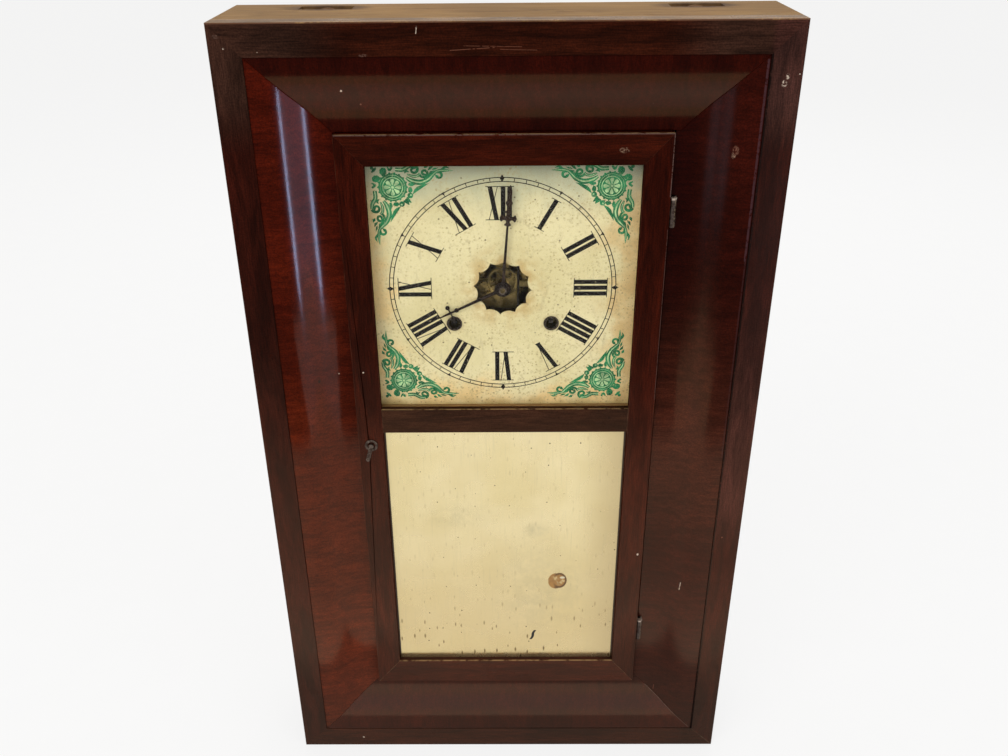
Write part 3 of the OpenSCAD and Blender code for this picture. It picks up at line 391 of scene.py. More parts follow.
def hinge_highlights(f):
    """Painted highlights on the hinge barrels, bright at their upper ends and down the outer side.
    """
    z = f.axes()[2]
    lower_end = f.both(f.fade(z, 0.1468, 0.1486), f.fade(z, 0.155, 0.150))
    ends = f.most(f.fade(z, 0.5422, 0.5440), lower_end)
    rag = f.fade(f.noise(1.6, detail=4, rough=0.7, shift=2), 0.42, 0.56)
    side = f.both(f.fade(f.axes(f.facing)[0], 0.35, 0.7), rag)
    f.lay((0.42, 0.31, 0.20), side, 0.7)
    f.lay((0.55, 0.45, 0.37), ends)


def rim_wear_and_sheen(f, ax):
    """The rim's top is bare wood and its upper corners are dusty; its right side is redder and
    paler, a painted reflection.
    """
    corner = f.both(f.fade(f.calc("ABSOLUTE", ax[0]), 0.100, 0.150), f.fade(ax[2], 0.575, 0.625))
    f.lay((0.034, 0.016, 0.0105), corner, 0.7)
    # Painted reflection down the right side, strongest half way down.
    right = f.fade(ax[0], 0.172, 0.178)
    f.lay((0.044, 0.0150, 0.0115), right, corner, 0.8)
    middle = f.fade(ax[2], 0.50, 0.38), f.fade(ax[2], 0.22, 0.30)
    f.lay((0.058, 0.0200, 0.0155), right, *middle, 0.6)
    fibre = f.fade(f.noise(along("x", 22, 0.6), detail=4, rough=0.65, shift=4), 0.3, 0.7)
    bare = f.shade((0.27, 0.15, 0.062), fibre, 0.75, 1.2)
    nz = f.axes(f.facing)[2]
    f.lay(bare, f.fade(ax[2], 0.6655, 0.6665), f.fade(nz, 0.3, 0.7))


CREAM, PINKISH = (0.62, 0.5, 0.4), (0.20, 0.075, 0.045)
# GLEAM is a painted highlight along worn edges of the door.
GAP, GLEAM = (0.004, 0.0012, 0.0008), (0.115, 0.068, 0.058)

wear("rim_left rim_right", veneer(
    "rim_veneer_upright", "z", (0.0215, 0.0033, 0.0016), (0.0235, 0.0040, 0.0020), seed=1.0,
    patch=rim_wear_and_sheen,
    marks=[(186.9, 630.6, 1.5, 1.6, CREAM), (185.2, 626.0, 2.2, 1.2, CREAM),
           (194.7, 632.1, 0.5, 1.0, CREAM), (182, 250, 0.6, 1.6, PINKISH),
           (-190.6, 658.3, 3.0, 0.5, (0.10, 0.06, 0.045)), (-186.4, 650.8, 0.7, 1.0, CREAM)],
    lines=[(175.5, 645, 175.5, 22, 0.9, GAP, 0.95),
           (186, 11.5, 196.5, 0.8, 0.5, (0.12, 0.08, 0.05), 0.7),
           (175.5, 22, 186, 11.5, 0.5, (0.09, 0.055, 0.035), 0.4)]))
wear("rim_top rim_bottom", veneer(
    "rim_veneer_level", "x", (0.0255, 0.0048, 0.0018), (0.027, 0.0056, 0.0024), seed=5.0,
    patch=rim_wear_and_sheen, lip=((0.13, 0.06, 0.035), None),
    marks=[(-140, 11, 1.2, 1.0, CREAM), (-94.6, 645.9, 3.4, 0.35, (0.11, 0.06, 0.045))],
    lines=[(-37, 648.8, -8, 650.4, 0.35, PINKISH, 0.6), (-28, 651.6, 10, 650.8, 0.3, PINKISH, 0.5),
           (-4, 649.2, 20, 648.6, 0.3, PINKISH, 0.5),
           (-59.2, 659.6, -58.6, 664.2, 0.45, CREAM, 0.8)]))
# The left ogee's colours are painted brighter and redder than the right ogee's, standing in for
# the light that falls on it.
wear("ogee_left", veneer(
    "ogee_veneer_lit_left", "x", (0.050, 0.0045, 0.0013), (0.088, 0.0120, 0.0030), ripple=0.15,
    seed=9.0, gloss=0.10, dull=0.03, relief=0.10,
    marks=[(-148, 398, 1.1, 1.6, (0.01, 0.004, 0.003))]))
wear("ogee_right", veneer(
    "ogee_veneer_right", "x", (0.0235, 0.0027, 0.0011), (0.026, 0.0036, 0.0015), ripple=0.15,
    seed=13.0, gloss=0.14, dull=0.05, relief=0.12, patch=warm_middle,
    marks=[(157.4, 576.6, 1.7, 1.5, (0.26, 0.16, 0.11)),
           (158.6, 580.2, 2.6, 1.6, (0.17, 0.075, 0.05))],
    lines=[(173.4, 641, 173.4, 500, 1.1, (0.075, 0.035, 0.042), 0.65),
           (173.8, 500, 173.8, 330, 0.8, (0.050, 0.018, 0.018), 0.6),
           (175.2, 645, 175.2, 22, 0.5, GAP, 0.9), (152.2, 196, 151.6, 188, 0.45, CREAM, 0.8),
           (138.4, 68, 138.0, 62, 0.35, PINKISH, 0.7)]))
wear("ogee_top ogee_bottom", veneer(
    "ogee_veneer_level", "z", (0.0245, 0.0023, 0.0008), (0.027, 0.0030, 0.0012), ripple=0.12,
    seed=17.0, gloss=0.12, dull=0.04, relief=0.10,
    marks=[(-112, 622, 0.9, 1.0, CREAM), (-100, 612, 0.7, 1.0, PINKISH)],
    lines=[(130, 66.2, 174, 22.2, 0.5, (0.11, 0.07, 0.055), 0.6),
           (-172, 23.0, 172, 23.0, 0.45, (0.075, 0.040, 0.034), 0.6)]))
wear("door_stile_left door_stile_right", veneer(
    "door_veneer_upright", "z", (0.0265, 0.0030, 0.0010), (0.031, 0.0055, 0.0023), seed=21.0,
    marks=[(-113, 405, 0.8, 1.0, CREAM), (113, 225, 1.0, 1.5, CREAM)],
    lines=[(116.9, 591, 116.9, 546, 0.5, GLEAM, 0.85),
           (116.9, 521, 116.9, 380, 0.4, (0.07, 0.035, 0.03), 0.7)]))
wear("door_rail_top door_rail_cross door_rail_bottom", veneer(
    "door_veneer_level", "x", (0.0300, 0.0038, 0.0012), (0.033, 0.0048, 0.0018), seed=25.0,
    lip=((0.30, 0.185, 0.085), -0.0340), patch=cross_wear,
    marks=[(82, 363, 1.1, 1.0, (0.006, 0.003, 0.002)),
           (82.4, 579.6, 4.2, 0.55, (0.24, 0.15, 0.10))],
    lines=[(-120.6, 590.9, 117, 590.9, 0.5, GLEAM, 0.9)]))


def slot_dirt(f):
    """Dark grease round the two pulley slots."""
    ax = f.axes()
    rag = f.fade(f.noise(14, detail=5, rough=0.7, shift=3), 0.3, 0.7, 0.5, 1.2, kind="LINEAR")
    for x in (-128, 135.5):
        dx = f.calc("DIVIDE", f.less(ax[0], x * MM), 0.034)
        dy = f.calc("DIVIDE", f.less(ax[1], 0.0255), 0.016)
        gone = f.calc("ADD", f.both(dx, dx), f.both(dy, dy))
        f.lay((0.05, 0.022, 0.011), f.calc("MULTIPLY", f.fade(gone, 1.2, 0.15), rag, clamp=True))


def stained(f):
    """The outer face of a side board carries a thin brown stain."""
    ax = f.axes()
    outer = f.fade(f.calc("ABSOLUTE", ax[0]), 0.1962, 0.1968)
    thin = f.fade(f.noise((30, 30, 160), detail=5, rough=0.7, shift=8), 0.42, 0.66)
    brown = f.mix(f.both(thin, 0.4), (0.060, 0.019, 0.008), (0.13, 0.05, 0.022))
    fibre = f.fade(f.noise((0.6, 0.6, 30), detail=4, rough=0.65, shift=2), 0.3, 0.7)
    f.lay(f.shade(brown, fibre, 0.7, 1.25), outer)


def arbor_iron(f):
    """The arbor in front of a drum, with its winding square, is dark iron."""
    f.lay((0.035, 0.026, 0.020), f.fade(f.axes()[1], 0.004, 0.002))


wear("top_board", plain_wood(
    "top_pine_aged", "x", (0.36, 0.21, 0.080), (0.22, 0.11, 0.038), seed=2.0, stain=slot_dirt))
wear("side_left side_right", plain_wood(
    "case_pine_stained", "z", (0.30, 0.175, 0.08), (0.18, 0.088, 0.036), seed=6.0, stain=stained))
wear("backboard partition_left partition_right", plain_wood(
    "case_pine_upright", "z", (0.33, 0.195, 0.092), (0.2, 0.1, 0.042), seed=10.0))
wear("bottom_board seat_board top_block", plain_wood(
    "case_pine_level", "x", (0.32, 0.19, 0.088), (0.2, 0.1, 0.042), seed=14.0))
wear("glazing_beads", plain_wood(
    "bead_wood_dark", "z", (0.055, 0.026, 0.013), (0.03, 0.013, 0.007), seed=18.0, stain=bead_top))
wear("time_drum strike_drum", plain_wood(
    "drum_wood_turned", "y", (0.30, 0.15, 0.06), (0.18, 0.08, 0.03), seed=22.0, rough=0.55,
    stain=arbor_iron))
wear("pulley_left pulley_right", plain_wood(
    "pulley_wood_turned", "x", (0.20, 0.10, 0.04), (0.12, 0.055, 0.02), seed=26.0, rough=0.6))

brass = metal("brass_aged", (0.42, 0.30, 0.11), 0.38, (0.12, 0.085, 0.034), 0.48, 1.0, cell=9.0)
wear("front_plate back_plate", metal(
    "brass_plate_aged", (0.62, 0.46, 0.18), 0.42, (0.26, 0.19, 0.070), 0.5, 3.0, cell=14.0,
    brushed=(6.0, 6.0, 0.3)))
wear("pendulum_bob", metal(
    "brass_bob", (0.62, 0.43, 0.16), 0.28, (0.30, 0.19, 0.07), 0.46, 5.0, cell=11.0))
wear("hinge_leaves_case hinge_leaves_door", metal(
    "hinge_iron_aged", (0.088, 0.066, 0.056), 0.46, (0.040, 0.022, 0.015), 0.46, 7.0, cell=3.0,
    metallic=0.8, rubbed=hinge_highlights))
wear("latch_escutcheon latch_lever", metal(
    "latch_metal_aged", (0.16, 0.12, 0.095), 0.42, (0.055, 0.035, 0.026), 0.5, 9.0, cell=3.0,
    metallic=0.85))
wear("verge hammer pulley_axles", metal(
    "steel_wire_aged", (0.42, 0.40, 0.37), 0.34, (0.16, 0.12, 0.09), 0.44, 11.0, cell=4.0))
wear("gong", metal(
    "gong_steel_blued", (0.10, 0.105, 0.125), 0.3, (0.06, 0.045, 0.036), 0.44, 13.0, cell=7.0))
wear("gong_stand weight_left weight_right", metal(
    "cast_iron_rusted", (0.09, 0.075, 0.065), 0.62, (0.085, 0.035, 0.016), 0.5, 15.0, cell=12.0,
    metallic=0.6))
wear("minute_hand hour_hand", metal(
    "hand_black_japan", (0.014, 0.009, 0.007), 0.50, (0.034, 0.020, 0.014), 0.46, 17.0, cell=5.0,
    metallic=0.0, specular=0.1))
wear("pendulum_rod", metal(
    "pendulum_rod_iron", (0.05, 0.042, 0.036), 0.5, (0.03, 0.018, 0.012), 0.46, 23.0, cell=4.0,
    metallic=0.7))
wear("hand_nut", metal(
    "hand_nut_steel", (0.20, 0.16, 0.14), 0.40, (0.05, 0.034, 0.026), 0.46, 19.0, cell=1.5))


def dial_finish():
    """Painted metal dial: cream ground, foxing, browned edges, a painted grey shade at the top."""
    f = Finish("dial_paint_aged", Roughness=0.5, Specular_IOR_Level=0.3)
    ax = f.axes()
    dx, dz = f.less(ax[0], DIAL_X * MM), f.less(ax[2], DIAL_Z * MM)
    f.tone = f.mix(f.fade(f.noise(55, detail=3, shift=1), 0.35, 0.65), (0.73, 0.635, 0.345),
                   (0.82, 0.725, 0.43))
    broad = f.noise(32, detail=4, rough=0.6, shift=5)
    square = f.most(f.calc("ABSOLUTE", dx), f.calc("ABSOLUTE", dz))
    away = f.calc("ADD", square, f.fade(broad, 0.3, 0.7, -0.012, 0.012))
    f.lay((0.84, 0.570, 0.240), f.fade(away, 0.074, 0.103, 0.0, 0.8))
    right = f.both(f.fade(dx, 0.050, 0.098), f.fade(broad, 0.4, 0.62))
    f.lay((0.53, 0.34, 0.14), right, 0.45)
    # Brown breathing round the centre hole and the winding holes.
    halo = f.both(f.fade(f.far(dx, dz), 0.040, 0.020),
                  f.fade(f.noise(9, detail=4, shift=2), 0.36, 0.66))
    f.lay((0.54, 0.335, 0.110), halo, 0.72)
    for side in (-1, 1):
        rust = f.spot(DIAL_X + side * HOLE_X, DIAL_Z + HOLE_Z, 9.0, 0.55)
        f.lay((0.30, 0.19, 0.09), rust, 0.5)
    # Painted grey-blue shade and reflection of the door along the top; the ground browner towards
    # the foot.
    top = f.fade(f.calc("ADD", dz, f.fade(broad, 0.3, 0.7, -0.007, 0.007)), 0.050, 0.098)
    f.lay((0.315, 0.378, 0.300), top, 0.80)
    uneven = f.fade(f.noise(12, detail=4, shift=9), 0.3, 0.7, -0.003, 0.003)
    foot = f.fade(f.calc("ADD", dz, uneven), -0.094, -0.1045)
    f.lay((0.46, 0.315, 0.115), foot, 0.72)
    # Painted shadow along the lowest edge of the dial.
    f.lay((0.10, 0.062, 0.020), f.fade(dz, -0.1015, -0.1055), 0.85)
    # Foxing: freckles of three sizes, thicker in some places and along the foot.
    thick = f.fade(f.noise(34, detail=3, rough=0.6, shift=12), 0.38, 0.62, 0.35, 1.0)
    mottle = f.fade(f.noise(2.6, detail=4, rough=0.7, shift=14), 0.50, 0.66)
    f.lay((0.47, 0.37, 0.19), mottle, thick, 0.5)
    fine = f.specks(3.2, 0.45, 0.34, shift=1, soft=0.8, front=True)
    f.lay((0.42, 0.31, 0.13), fine, thick, 0.75)
    mid = f.specks(7.5, 0.40, 0.17, shift=3, soft=0.7, front=True)
    f.lay((0.32, 0.225, 0.090), mid, thick, 0.66)
    dark = f.specks(17, 0.38, 0.055, shift=5, soft=0.5, front=True)
    f.lay((0.11, 0.072, 0.030), dark, 0.8)
    low = f.both(f.specks(4.2, 0.5, 0.32, shift=7, soft=0.7, front=True),
                 f.fade(dz, -0.050, -0.100))
    f.lay((0.30, 0.19, 0.075), low, 0.55)
    rub = f.fade(f.noise((3.5, 3.5, 16), detail=5, rough=0.7, shift=8), 0.56, 0.70)
    f.lay((0.42, 0.33, 0.2), rub, 0.26)
    f.put(Base_Color=f.tone)
    f.bump(f.less(f.both(f.noise(3.0, detail=4), 0.4), mid), 0.25, 0.0001)
    return f.mat


def paint(name, colour, scrape, fade_to, seed=0.0):
    """Thin paint on the dial, rubbed through in places."""
    f = Finish(name, Roughness=0.6, Specular_IOR_Level=0.12)
    worn = f.fade(f.noise((1.6, 1.6, 3.2), detail=5, rough=0.75, shift=seed), scrape,
                  scrape + 0.07)
    f.tone = colour
    f.vary(f.noise(7, detail=4, shift=seed + 1), 0.6, 1.5)
    f.lay(fade_to, worn, 0.8)
    f.put(Base_Color=f.tone)
    f.bump(f.noise(1.2, detail=3, shift=seed + 2), 0.2, 0.00005)
    return f.mat


wear("dial", dial_finish())
black_paint = paint("dial_numerals_black", (0.010, 0.008, 0.007), 0.60, (0.42, 0.36, 0.22))
line_paint = paint("dial_lines_black", (0.014, 0.010, 0.007), 0.66, (0.42, 0.36, 0.22), seed=3.0)
green_paint = paint("dial_scrolls_green", (0.020, 0.180, 0.070), 0.58, (0.30, 0.38, 0.20),
                    seed=6.0)
pale_green = paint("dial_scrolls_pale", (0.35, 0.51, 0.27), 0.55, (0.16, 0.36, 0.19), seed=9.0)


def mirror_finish():
    """Old plate mirror: yellowed reflection, grey bloom, black specks, one lost patch."""
    f = Finish("old_mirror_silvering", Metallic=0.86, Roughness=0.24)
    ax = f.axes()
    f.tone = f.mix(f.fade(f.noise(70, detail=3, shift=2), 0.32, 0.68), (0.85, 0.705, 0.372),
                   (0.935, 0.795, 0.465))
    f.lay((0.745, 0.570, 0.285), f.fade(ax[2], 0.30, 0.12, 0.0, 0.7))
    f.lay((0.60, 0.465, 0.245), f.fade(ax[0], 0.055, 0.0965, 0.0, 0.75))
    grey = f.most(f.both(f.spot(24, 247, 17, 0.95, 0.7), 0.36),
                  f.both(f.spot(-42, 262, 40, 1.0, 0.45), 0.22),
                  f.both(f.spot(30, 180, 60, 1.0, 1.3), 0.25))
    cloudy = f.fade(f.noise(11, detail=5, rough=0.65, shift=6), 0.3, 0.62)
    f.lay((0.42, 0.385, 0.235), grey, cloudy)
    streak = f.fade(f.noise((1.4, 30, 26), detail=4, rough=0.6, shift=9), 0.52, 0.68)
    f.lay((0.45, 0.40, 0.26), streak, 0.10)
    foot = f.fade(ax[2], 0.190, 0.110, 0.15, 1.0)
    many = f.specks((5.5, 5.5, 18), 0.40, 0.23, shift=3, soft=0.8, front=True)
    few = f.specks((15, 15, 18), 0.34, 0.055, shift=7, soft=0.5, front=True)
    small = f.specks(5, 0.16, 0.11, shift=11, soft=0.6, front=True)
    f.lay((0.17, 0.105, 0.040), many, foot, 0.9)
    f.lay((0.35, 0.27, 0.14), small, 0.30)
    f.lay((0.06, 0.045, 0.02), few, 0.85)
    # Brown patch where the silvering came off, with a dark ring and a pale bald spot in it.
    rag = f.fade(f.noise(5, detail=4, shift=4), 0.2, 0.42)
    patch = f.both(f.most(f.spot(42.6, 191.2, 7.0, 0.12, 1.3),
                          f.spot(46.0, 191.8, 6.9, 0.12, 1.3)), rag)
    ring = f.both(patch, f.less(1.0, f.spot(46.0, 191.8, 5.7, 0.25, 1.3)),
                  f.fade(ax[0], 0.040, 0.044))
    amber = f.mix(f.fade(f.noise(6, detail=5, shift=3), 0.3, 0.7), (0.46, 0.21, 0.038),
                  (0.33, 0.145, 0.026))
    f.lay(amber, patch, 0.92)
    f.lay((0.07, 0.035, 0.012), ring, 0.8)
    f.lay((0.8, 0.72, 0.5), patch, f.spot(48.6, 195, 2.8, 0.5, 0.6))
    # Slanting black gash.
    dx = f.less(ax[0], 23.0 * MM)
    dz = f.less(ax[2], 128.0 * MM)
    lean = f.less(dx, f.both(dz, 0.36))
    wave = f.both(f.calc("SINE", f.both(dz, 620.0)), 0.0005)
    thin = f.fade(f.calc("ABSOLUTE", f.calc("ADD", lean, wave)), 0.0014, 0.0010)
    gash = f.both(thin, f.fade(f.calc("ABSOLUTE", dz), 0.0058, 0.0052))
    f.lay((0.006, 0.005, 0.004), gash)
    rim = f.most(f.fade(ax[0], 0.0950, 0.0956), f.fade(ax[0], -0.0992, -0.0998))
    f.lay((0.055, 0.028, 0.012), rim)
    f.put(Base_Color=f.tone)
    marred = f.most(patch, gash, rim, f.both(few, 0.7))
    f.put(Metallic=f.fade(marred, 0, 1, 0.86, 0.1, kind="LINEAR"),
          Roughness=f.fade(f.noise(26, detail=4, shift=5), 0.3, 0.7, 0.2, 0.32))
    f.bump(f.noise(60, detail=1), 0.12, 0.0004)
    return f.mat


def glass_finish():
    """Clear old window glass that lets the lamps through."""
    f = Finish("window_glass_clear", Base_Color=(0.90, 0.905, 0.885), Roughness=0.0, IOR=1.15,
               Transmission_Weight=1.0)
    f.blend(f.ray("Shadow"), f.add("ShaderNodeBsdfTransparent"))
    return f.mat


wear("mirror", mirror_finish())
wear("dial_glass", glass_finish())

for name, piece in nodes.items():
    for holder in piece.material_slots:
        holder.material = worn_by.get(name, brass)


def smoother(limit):
    """Geometry nodes that shade a mesh smooth over edges flatter than limit degrees."""
    group = bpy.data.node_groups.new("smooth_facets", "GeometryNodeTree")
    for way in ("INPUT", "OUTPUT"):
        group.interface.new_socket("Geometry", in_out=way, socket_type="NodeSocketGeometry")
    g = Nodes(group)
    plain = g.named(g.add("GeometryNodeRemoveAttribute", g.add("NodeGroupInput").outputs[0]),
                    Name="custom_normal")
    bend = g.add("GeometryNodeInputMeshEdgeAngle").outputs["Unsigned Angle"]
    gentle = g.named(g.add("FunctionNodeCompare", data_type="FLOAT", operation="LESS_EQUAL"),
                     A=bend, B=math.radians(limit))
    edges = g.named(g.add("GeometryNodeSetShadeSmooth", plain.outputs[0], domain="EDGE"),
                    Shade_Smooth=gentle.outputs[0])
    faces = g.named(g.add("GeometryNodeSetShadeSmooth", edges.outputs[0]), Shade_Smooth=True)
    g.add("NodeGroupOutput", faces.outputs[0])
    return group


SMOOTHER = smoother(12)
BEVEL_FROM = math.radians(28)  # edges flatter than this stay as they are


def soften(names, width, segments=2):
    """Round the sharp edges of framed nodes; the loaded meshes come in loose facets."""
    for name in names:
        weld = nodes[name].modifiers.new("weld", "WELD")
        weld.merge_threshold = 0.00001
        bevel = nodes[name].modifiers.new("edges", "BEVEL")
        bevel.width = width * MM
        bevel.segments = segments
        bevel.limit_method = "ANGLE"
        bevel.angle_limit = BEVEL_FROM
        nodes[name].modifiers.new("shading", "NODES").node_group = SMOOTHER


soften(RIMS, 0.7)
soften(DOOR, 0.5)
soften(OGEES, 0.3, 1)
soften(["top_board", "side_left", "side_right", "backboard", "bottom_board"], 0.6)


# --- painted dial

PROUD = SUNK = 0.05  # how far paint stands out of the dial and reaches into it, in millimetres
LIFT, LIFTS = 0.0025, 29  # neighbouring shapes stand out by a different count of small steps


def new_mesh(name, points, faces, material):
    mesh = bpy.data.meshes.new(name)
    mesh.from_pydata(points, [], faces)
    mesh.update()
    mesh.materials.append(material)
    piece = bpy.data.objects.new(name, mesh)
    bpy.context.scene.collection.objects.link(piece)
    return piece


def polar(radius, turn):
    return radius * math.cos(turn), radius * math.sin(turn)


def on_dial(u, v, depth):
    return (DIAL_X + u) * MM, depth * MM, (DIAL_Z + v) * MM


class Sheet:
    """Flat paint shapes on the dial, in millimetres from its centre, as thin prisms."""

    def __init__(self):
        self.points, self.faces, self.shapes = [], [], 0

    def depths(self):
        """Front and back of the next shape; neighbours differ, so none share a face."""
        self.shapes += 1
        return DIAL_FACE - PROUD - LIFT * (self.shapes % LIFTS), DIAL_FACE + SUNK

    def polygon(self, outline):
        start, count = len(self.points), len(outline)
        turns = sum(a[0] * b[1] - b[0] * a[1] for a, b in zip(outline, outline[1:] + outline[:1]))
        outline = outline if turns > 0 else outline[::-1]
        for depth in self.depths():
            self.points += [on_dial(u, v, depth) for u, v in outline]
        self.faces.append(tuple(range(start, start + count)))
        self.faces.append(tuple(range(start + 2 * count - 1, start + count - 1, -1)))
        for k in range(count):
            following = (k + 1) % count
            self.faces.append((start + following, start + k, start + count + k,
                               start + count + following))

    def stroke(self, path, widths):
        """A brush stroke along a path; widths are its breadths at even steps."""
        path = [Vector(p) for p in path]
        left, right = [], []
        for k, point in enumerate(path):
            ahead = path[min(k + 1, len(path) - 1)] - path[max(k - 1, 0)]
            side = Vector((-ahead.y, ahead.x)).normalized()
            where = k / (len(path) - 1) * (len(widths) - 1)
            low = min(int(where), len(widths) - 2)
            half = (widths[low] + (widths[low + 1] - widths[low]) * (where - low)) / 2
            left.append(point + side * half)
            right.append(point - side * half)
        start, count = len(self.points), len(path)
        for depth in self.depths():
            self.points += [on_dial(p.x, p.y, depth) for p in left + right]
        # Where the rows start: at the front or back, left or right.
        fl, fr, bl, br = (start + count * k for k in range(4))
        for k in range(count - 1):
            self.faces += [(fl + k, fr + k, fr + k + 1, fl + k + 1),
                           (bl + k + 1, br + k + 1, br + k, bl + k),
                           (fl + k + 1, bl + k + 1, bl + k, fl + k),
                           (fr + k, br + k, br + k + 1, fr + k + 1)]
        last = count - 1
        self.faces += [(fl, bl, br, fr), (fr + last, br + last, bl + last, fl + last)]

    def ring(self, u, v, outer, inner, steps):
        start = len(self.points)
        for depth in self.depths():
            for radius in (outer, inner):
                for k in range(steps):
                    du, dv = polar(radius, 2 * math.pi * k / steps)
                    self.points.append(on_dial(u + du, v + dv, depth))
        # Where the circles start: at the front or back, outer or inner.
        fo, fi, bo, bi = (start + steps * k for k in range(4))
        for k in range(steps):
            n = (k + 1) % steps
            self.faces += [(fo + n, fo + k, fi + k, fi + n), (bo + k, bo + n, bi + n, bi + k),
                           (fo + k, fo + n, bo + n, bo + k), (fi + n, fi + k, bi + k, bi + n)]

    def disc(self, u, v, radius, steps):
        rim = [polar(radius, 2 * math.pi * k / steps) for k in range(steps)]
        self.polygon([(u + du, v + dv) for du, dv in rim])

    def make(self, name, material):
        piece = new_mesh(name, self.points, self.faces, material)
        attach(piece, "case")


def turned(point, angle, out=0.0):
    """Turn a point of a numeral (right, outward) clockwise from twelve by angle degrees."""
    a = math.radians(angle)
    u, v = point[0], point[1] + out
    return (u * math.cos(a) + v * math.sin(a), -u * math.sin(a) + v * math.cos(a))


# A numeral's radii and stroke widths, and its letters' half widths and distances.
FOOT, HEAD = 54.5, 79.7
THICK, THIN = 3.4, 0.55
REACH = {"I": 1.7, "V": 4.2, "X": 4.2}
SPACING = {"II": 4.8, "XI": 7.2, "IX": 7.2, "VI": 6.6, "IV": 6.6}
NUMERALS = ["XII", "I", "II", "III", "IIII", "V", "VI", "VII", "VIII", "IX", "X", "XI"]


def bar(sheet, angle, start, end, width):
    """A stroke of a numeral from its foot to its head, cut square to the radius."""
    half = width / 2
    corners = [(start - half, FOOT), (start + half, FOOT), (end + half, HEAD), (end - half, HEAD)]
    sheet.polygon([turned(c, angle) for c in corners])


def numeral(sheet, word, angle, aside):
    at = [0.0]
    for pair in zip(word, word[1:]):
        at.append(at[-1] + SPACING["".join(pair)])
    low, high = at[0] - REACH[word[0]], at[-1] + REACH[word[-1]]
    centre = (low + high) / 2
    for letter, x in zip(word, at):
        x += aside - centre
        if letter == "I":
            bar(sheet, angle, x, x, THICK)
        elif letter == "V":
            bar(sheet, angle, x, x - 2.8, THICK)
            bar(sheet, angle, x + 0.4, x + 3.6, THIN)
        else:
            bar(sheet, angle, x + 2.45, x - 2.45, THICK)
            bar(sheet, angle, x - 3.1, x + 3.1, THIN)
    over = 2.3 if len(word) < 3 else 1.5
    half = (high - low) / 2 + over
    foot_half = half if word != "V" else 2.2
    for radius, reach in ((FOOT, foot_half), (HEAD, half)):
        low, high = radius - THIN / 2, radius + THIN / 2
        sheet.polygon([turned(c, angle) for c in ((aside - reach, low), (aside + reach, low),
                                                  (aside + reach, high), (aside - reach, high))])


numerals = Sheet()
for hour, word in enumerate(NUMERALS):
    numeral(numerals, word, 30 * hour, -1.8 if word == "XII" else 0.0)
numerals.make("dial_numerals", black_paint)

TRACK_IN, TRACK_OUT = 83.4, 86.4
LINE, TICK = 0.34, 0.27  # half widths
track = Sheet()
for radius in (TRACK_IN, TRACK_OUT):
    track.ring(0, 0, radius + LINE, radius - LINE, 180)
for minute in range(60):
    corners = ((-TICK, TRACK_IN), (TICK, TRACK_IN), (TICK, TRACK_OUT), (-TICK, TRACK_OUT))
    track.polygon([turned(c, 6 * minute) for c in corners])
for hour in range(12):
    if hour % 3 == 0:
        shape = ((0, -2.9), (1.7, 0), (0, 2.9), (-1.7, 0))
        track.polygon([turned(c, 30 * hour, TRACK_OUT - 0.6) for c in shape])
    else:
        shape = ((0, -1.7), (1.5, 1.0), (-1.5, 1.0))
        track.polygon([turned(c, 30 * hour, TRACK_OUT - 0.4) for c in shape])
track.make("dial_minute_track", line_paint)


def smooth(points, steps=6):
    """A Catmull-Rom path through the points."""
    pts = [Vector(p) for p in points]
    pts = [2 * pts[0] - pts[1]] + pts + [2 * pts[-1] - pts[-2]]
    out = []
    for a, b, c, d in zip(pts, pts[1:], pts[2:], pts[3:]):
        for k in range(steps):
            t = k / steps
            out.append(0.5 * (2 * b + (c - a) * t + (2 * a - 5 * b + 4 * c - d) * t * t
                              + (3 * b - 3 * c + d - a) * t ** 3))
    out.append(pts[-2])
    return out


def curl(u, v, radius, start, turns, end_radius, steps=22):
    """A spiral that winds in from radius; start in degrees, turns signed."""
    path = []
    for k in range(steps + 1):
        t = k / steps
        du, dv = polar(radius + (end_radius - radius) * t, math.radians(start + 360 * turns * t))
        path.append((u + du, v + dv))
    return path


ROSETTE = 79.6  # from the dial's middle to a rosette's, each way
PALE_PROUD = 0.1  # how far the pale lights stand out of the green scrolls


